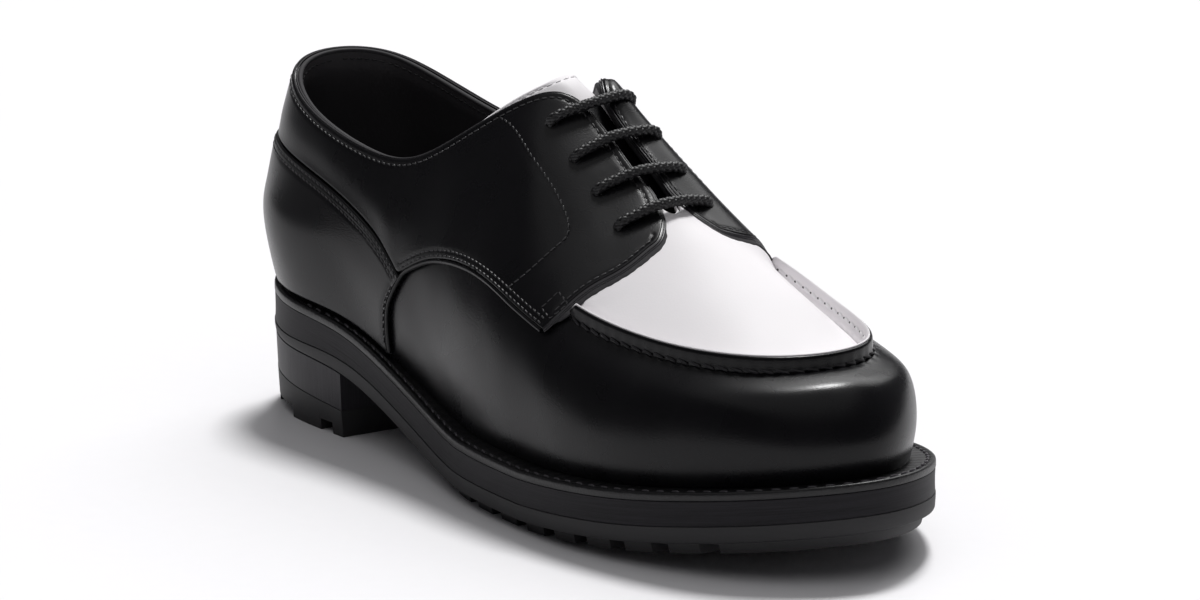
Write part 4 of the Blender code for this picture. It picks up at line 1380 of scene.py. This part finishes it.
def build_ridge():
    """Raised seam of two folded edges, with its stitches, and dark beads of painted shade for its needle
    holes.
    """
    _, path, inwards = ridge_path(0.0, 700)
    ups = np.array((0.0, 0.0, 1.0)) - RIDGE_LEAN * inwards
    far = lengths_along(path)
    wave = 0.5 + 0.5 * np.cos(math.tau * far / RIDGE_STITCH[0])
    least, run = RIDGE_ENDS
    tall = least + (1 - least) * smooth_step(np.minimum(far, far[-1] - far) / run)
    shape = Shape()
    for finish, (profile, pull) in enumerate(zip((RIDGE_OUTER, RIDGE_INNER), RIDGE_PULL)):
        inward, up = np.array(profile).T
        drawn = inward + pull * wave[:, None] * np.exp(-np.maximum(up, 0) / PULL_FADE)
        risen = np.where(up > 0, up * tall[:, None], up)
        risen = risen + RIDGE_SAG[0] * np.sin(far / RIDGE_SAG[1])[:, None] * (up > RIDGE_SAG[2])
        add_sweep(shape, path, inwards, ups, np.stack((drawn, risen), axis=-1), finish)
    shape.piece("apron_ridge", [black_calf, white_calf], "black_leather", ["apron_seam"], 50)

    def sewn(seat, part, kind, slant, stand):
        """Shape of a stitch row on one face of the seam."""
        shape = Shape()
        base = path + seat[0] * inwards + seat[1] * ups
        facing = seat[2] * inwards + seat[3] * ups
        add_stitches(shape, base[part], facing[part], kind, slant, stand)
        return shape
    inside = slice(RIDGE_BARE, -RIDGE_BARE)
    half = RIDGE_STITCH[0] / 2
    needle_shade_span = (far > far[RIDGE_BARE] + half) & (far < far[-RIDGE_BARE - 1] - half)
    outer_row = sewn(OUTER_SEAT, inside, RIDGE_STITCH, 1.1, 0.2)
    outer_row.piece("ridge_stitches_outer", [black_thread_painted_glint], "black_leather")
    inner_row = sewn(INNER_SEAT, inside, INNER_STITCH, 0.5, 0.5)
    inner_row.piece("ridge_stitches_inner", [white_thread], "white_leather")
    # painted shade: dark beads in the lining's grey set between the inner stitches, where the needle holes
    # are
    sewn(INNER_SEAT, needle_shade_span, NEEDLE_HOLE_SHADE, 0.0, 0.3).piece("ridge_needle_hole_shade", [lining_calf_painted_fill], "white_leather")


def build_apron():
    """White panel inside the raised seam, tucked under the quarters."""
    us, _, _ = ridge_path(0.05, 240)
    fold = np.minimum(us, SECTION_COUNT - us)
    per_level = mm_per_level(us, RIDGE_LEVEL)
    low = RIDGE_LEVEL + APRON_START / per_level
    tucked = np.where(fold < QUARTER_END, quarter_low(fold) + APRON_TUCK, APRON_END)
    high = np.maximum(np.minimum(tucked, APRON_END), low + 0.01)
    v = edge_rows(us, low, high, 46)
    u = np.broadcast_to(us, v.shape)
    rise = smooth_step(((v - RIDGE_LEVEL) * per_level - APRON_RISE[0]) / APRON_RISE[1])
    sink = seam_valley(u, v, per_level)
    face = APRON_DIP + (FRONT_BASE - APRON_DIP) * rise - sink
    shape = Shape()
    add_sheet(shape, *laid_piece(u, v, (0.05 - sink, face), radius=0.5))
    shape.piece("apron_leather", [white_calf], "white_leather", ["apron"], LEATHER_SHARP)


# Tongue and lace

TONGUE_FAN = 0.16        # share of its length that fans out under the vamp
TONGUE_FRONT = (0.92, 0.05)  # level of its front at the middle, and its rise to the slit's end
TONGUE_SPREAD = (2.1, 0.4)   # sections to either side at the front, and what they gain
TONGUE_SLIT_END = 9.4    # section of the slit's front end
TONGUE_FLARE = 5         # power by which its top flares out
TONGUE_ARCH = 0.25
TONGUE_PASSES = 40       # times that its columns are evened out
TONGUE_EDGE = 0.9        # rounding of its edge
TONGUE_SKIN = 0.02
TONGUE_GROOVE = (0.25, 0.6)
TONGUE_STITCH = (2.9, 2.2, 0.28)
TONGUE_BARE = 4          # points at either end of its row without stitches
# the black strip is partly painted shade inside the lacing slit, partly a stand-in for the lace bars hidden
# under the facings
TONGUE_LACE_SHADE = (0.80, 0.12)   # black strip under the lacing: share of the length, width past the slit
STRANDS = 4              # strands that wind each way in the braid
CORD_RADIUS = 1.12       # middle of the strands
CORD_POINTS = 0.32       # distance between points along the cord
STRAND = (0.66, 0.36)    # half width and half thickness of a strand
STRAND_OVER = 0.24       # how far it passes over and under the others
BRAID_TURN = 8.8         # length in which a strand winds once round
# ends of a lace bar, from its hole: distance back, height, first in the hole and then at its mouth
LACE_DIPS = ((1.1, -3.0), (0.5, 0.3))
ABOVE_SHOE = 200.0       # height from which the facings are felt for
LINING_ROW = (0.955, 0.32)   # stitch row inside the collar: level, depth in the lining


def tongue_points(along_it, across):
    """Points of the tongue's top, from its front under the vamp (0) to the facings' top (1)."""
    depth = -(WALL + TONGUE_CLEAR)
    reach = np.abs(across)
    side = np.where(across < 0, 1, -1)
    share = along_it / TONGUE_FAN
    start = TONGUE_FRONT[0] + TONGUE_FRONT[1] * share
    front_u = TOE_TIP - (TONGUE_SPREAD[0] + TONGUE_SPREAD[1] * share) * reach
    front = surface(side * front_u, start + (TONGUE_LEVEL - start) * reach, depth)
    share = np.maximum(along_it - TONGUE_FAN, 0) / (1 - TONGUE_FAN)
    flare = share ** TONGUE_FLARE
    table = np.array(TONGUE_TOP)

    def on_flank(out):
        """Section number and level of the tongue, this far out from its middle."""
        top = natural_shares(table[:, 0], out) @ table[:, 1:]
        low = 1 - (1 - TONGUE_LEVEL) * (out - TONGUE_SLIT) / (1 - TONGUE_SLIT)
        return TONGUE_SLIT_END + (top[:, 0] - TONGUE_SLIT_END) * share, low + (top[:, 1] - low) * flare
    lean = TONGUE_LEAN * flare
    u, v = on_flank(np.maximum(reach, TONGUE_SLIT))
    flank = surface(side * u, v + np.where(side < 0, lean, 0.0), depth)
    u, v = on_flank(np.full(len(reach), TONGUE_SLIT))
    lateral = surface(u, v, depth)
    medial = surface(-u, v + lean, depth)
    place = (np.clip(across / TONGUE_SLIT, -1, 1) + 1)[:, None] / 2
    width = np.linalg.norm(medial - lateral, axis=1)[:, None]
    arch = TONGUE_ARCH * share[:, None] * width * place * (1 - place)
    middle = lateral + (medial - lateral) * place + arch * np.array((0.0, 0.0, 1.0))
    back = np.where((reach >= TONGUE_SLIT)[:, None], flank, middle)
    return np.where((along_it < TONGUE_FAN)[:, None], front, back)


def build_tongue():
    """White tongue, with a black strip where it lies under the lacing that stands in for the lace bars hidden
    there and is partly painted shade of the slit, and a stitch row along its top.
    """
    places = np.concatenate((np.linspace(0, 0.88, 40), np.linspace(0.89, 0.99, 24),
                             (0.994, 0.997, 0.999, 1.0)))
    across = np.linspace(-1, 1, 81)
    a, b = np.meshgrid(places, across, indexing="ij")
    points = tongue_points(a.ravel(), b.ravel()).reshape(*a.shape, 3)
    for _ in range(TONGUE_PASSES):
        points[:, 1:-1] = 0.5 * points[:, 1:-1] + 0.25 * (points[:, 2:] + points[:, :-2])
    normal = unit(np.cross(np.gradient(points, axis=0), np.gradient(points, axis=1)))
    normal *= np.sign(np.sum(normal * np.array((0.3, 0.0, 1.0)), axis=2))[..., None]
    steps = np.linalg.norm(np.diff(points[::-1], axis=0), axis=2)
    from_top = np.concatenate((np.zeros((1, len(across))), np.cumsum(steps, axis=0)))[::-1]
    far = distance_to(border_tree(points), points.reshape(-1, 3)).reshape(a.shape)
    half = TONGUE_THICK / 2 * round_edge(far, TONGUE_EDGE) + TONGUE_SKIN
    centre = points - normal * TONGUE_THICK / 2
    groove = TONGUE_GROOVE[0] * np.exp(-((from_top - TONGUE_ROW) / TONGUE_GROOVE[1]) ** 2)
    outer = centre + normal * (half - groove)[..., None]
    inner = centre - normal * half[..., None]
    shape = Shape()
    add_sheet(shape, outer, inner)
    made = shape.piece("tongue_leather", [white_calf, black_calf, lining_calf_painted_fill], "white_leather", ["tongue"],
                       LEATHER_SHARP)
    # black strip under the lacing: partly painted shade of the slit, partly the hidden lace bars
    length, past = TONGUE_LACE_SHADE
    narrow = np.abs(across[1:] + across[:-1]) / 2 < TONGUE_SLIT + past
    dark = ((places[:-1] < length)[:, None] & narrow).ravel()
    finish = np.zeros(len(made.data.polygons), dtype=np.int32)
    finish[:len(dark)] = dark
    finish[len(dark):2 * len(dark)] = 2
    made.data.polygons.foreach_set("material_index", finish)

    sewn = range(TONGUE_BARE, len(across) - TONGUE_BARE)
    row, ups = (np.array([between(TONGUE_ROW, from_top[::-1, c], w[::-1, c]) for c in sewn])
                for w in (outer, normal))
    shape = Shape()
    add_stitches(shape, row, ups, TONGUE_STITCH, stand=0.35)
    shape.piece("tongue_stitches", [white_thread], "white_leather")


def add_braid(shape, path):
    """Round braided cord along a path: strands that pass over and under each other."""
    path, far = even_path(path, CORD_POINTS)
    side, up = frames_along(path, np.tile((0.0, 0.0, 1.0), (len(path), 1)))
    strand_profile = circle(THREAD_CORNERS) * STRAND
    for way in (1, -1):
        for strand in range(STRANDS):
            angle = way * math.tau * far / BRAID_TURN + strand * math.tau / STRANDS
            out = np.cos(angle)[:, None] * side + np.sin(angle)[:, None] * up
            over = STRAND_OVER * way * np.cos(STRANDS * math.tau * far / BRAID_TURN)
            centre = path + (CORD_RADIUS + over)[:, None] * out
            add_sweep(shape, centre, *frames_along(centre, out), strand_profile)
    add_sweep(shape, path, side, up, circle(THREAD_CORNERS, CORD_RADIUS - 0.1))


def facing_tree():
    """Tree of the quarters' outer faces beside the lacing slit."""
    u, v = np.meshgrid(np.linspace(5.0, SECTION_COUNT - 5.0, 280), np.linspace(0.7, 1.0, 60))
    return BVHTree.FromPolygons(surface(u, v, PROUD).tolist(), grid_faces(*u.shape))


def taut_line(far, points, places):
    """Points at the given places of a cord drawn tight over a row of points."""
    height = points[:, 2]
    kept = []
    for k in range(len(far)):
        while len(kept) > 1:
            i, j = kept[-2:]
            straight = height[i] + (height[k] - height[i]) * (far[j] - far[i]) / (far[k] - far[i])
            if height[j] > straight:
                break
            kept.pop()
        kept.append(k)
    return between(places, far[kept], points[kept])


def build_laces():
    """Four bars of the lace, drawn tight over the facings from hole to hole."""
    tree = facing_tree()
    shares = np.linspace(0.0, 1.0, 81)
    for number, (outer, inner, bow) in enumerate(zip(*LACE_HOLES, LACE_BOW), 1):
        (start, end), ups = surface((outer[0], -inner[0]), (outer[1], inner[1]), PROUD, with_normal=True)
        ahead = end - start
        ahead[2] = 0.0
        length = np.linalg.norm(ahead)
        ahead /= length
        plan = start + (end - start) * shares[:, None]
        plan[:, 0] += 4 * bow * shares * (1 - shares)
        met = []
        for x, y, _ in plan:
            point, normal, _, _ = tree.ray_cast((x, y, ABOVE_SHOE), (0.0, 0.0, -1.0))
            if point is not None:
                met.append(point + normal * math.copysign(LACE_LIFT, normal.z))
        met = np.array(met)
        far = (met - start) @ ahead
        order = np.argsort(far)
        places = np.linspace(LACE_RISE, length - LACE_RISE, 9)
        bridge = taut_line(far[order], met[order], places)
        bridge[:, 2] += 4 * LACE_ARCH * (places / length) * (1 - places / length)
        first = [start - back * ahead + up * ups[0] for back, up in LACE_DIPS]
        last = [end + back * ahead + up * ups[1] for back, up in reversed(LACE_DIPS)]
        shape = Shape()
        add_braid(shape, smooth_path([*first, *bridge, *last], 200))
        shape.piece("lace_%d" % number, [lace_yarn], "lace_cord", ["lace_bar_%d" % number], 70)


def build_lining_stitches():
    """Stitch row inside the collar."""
    us = np.linspace(0.1, 6.0, 260)
    level, depth = LINING_ROW
    shape = Shape()
    for side in (1, -1):
        points, normals = surface(side * us, level, -RIM_WALL - depth, with_normal=True)
        add_stitches(shape, points, -normals, FINE_STITCH)
    shape.piece("lining_stitches", [black_thread_painted_glint], "black_leather")


# Floor, light and camera

FLOOR_RADIUS = 16.0      # metres
# softboxes: name, direction, strength, angle across in degrees
LIGHTS = (
    ("key_softbox", (-0.30, 0.36, 0.88), 2.5, 12),
    ("back_softbox", (-0.42, 0.60, 0.68), 0.9, 40),
    ("overhead_softbox", (0.1, -0.1, 1.0), 0.55, 80),
)
ROOM_COLOUR = "#e9e8ee"
ROOM_LIGHT = 0.10


def build_stage():
    """Pale paper floor under three soft lights, in a dim room."""
    disc = bmesh.new()
    bmesh.ops.create_circle(disc, cap_ends=True, segments=96, radius=FLOOR_RADIUS)
    mesh = bpy.data.meshes.new("studio_floor")
    disc.to_mesh(mesh)
    disc.free()
    floor = bpy.data.objects.new("studio_floor", mesh)
    bpy.context.scene.collection.objects.link(floor)
    # seamless paper: an even pale floor that keeps the shadow soft
    mesh.materials.append(speckled("white_paper_sweep", "#f0eff1", "#f2f1f3", 0.9, 6.0, 0.02))
    for name, direction, strength, angle in LIGHTS:
        light = bpy.data.lights.new(name, "SUN")
        light.energy = strength
        light.angle = math.radians(angle)
        lamp = bpy.data.objects.new(name, light)
        lamp.rotation_euler = Vector(direction).to_track_quat("Z", "Y").to_euler()
        bpy.context.scene.collection.objects.link(lamp)
    world = bpy.data.worlds.new("studio_room")
    world.use_nodes = True
    background = world.node_tree.nodes["Background"]
    background.inputs["Color"].default_value = linear(ROOM_COLOUR)
    background.inputs["Strength"].default_value = ROOM_LIGHT
    bpy.context.scene.world = world


def build_camera():
    """Camera at the photograph's angle."""
    azimuth = math.radians(CAMERA_AZIMUTH)
    elevation = math.radians(CAMERA_ELEVATION)
    back = Vector((math.sin(azimuth) * math.cos(elevation), -math.cos(azimuth) * math.cos(elevation),
                   math.sin(elevation)))
    lens = bpy.data.cameras.new("camera")
    lens.lens = CAMERA_LENS
    lens.sensor_width = 36.0
    lens.clip_end = 100.0
    camera = bpy.data.objects.new("camera", lens)
    camera.location = (Vector(CAMERA_AIM) - Vector(ORIGIN) + CAMERA_DISTANCE * back) * MM
    camera.rotation_euler = back.to_track_quat("Z", "Y").to_euler()
    bpy.context.scene.collection.objects.link(camera)
    bpy.context.scene.camera = camera


build_stage()
build_camera()
build_sole()
build_heel()
build_welt()
build_insole()
build_upper()
upper_stitches = Shape()
build_counter(upper_stitches)
build_back_strip(upper_stitches)
for shoe_side in (1, -1):
    build_quarter(shoe_side, upper_stitches)
upper_stitches.piece("upper_stitches", [black_thread_painted_glint], "black_leather")
build_hole_lips()
build_edge_layers()
build_apron()
build_ridge()
build_tongue()
build_laces()
build_lining_stitches()
bpy.context.scene.view_settings.view_transform = "Standard"
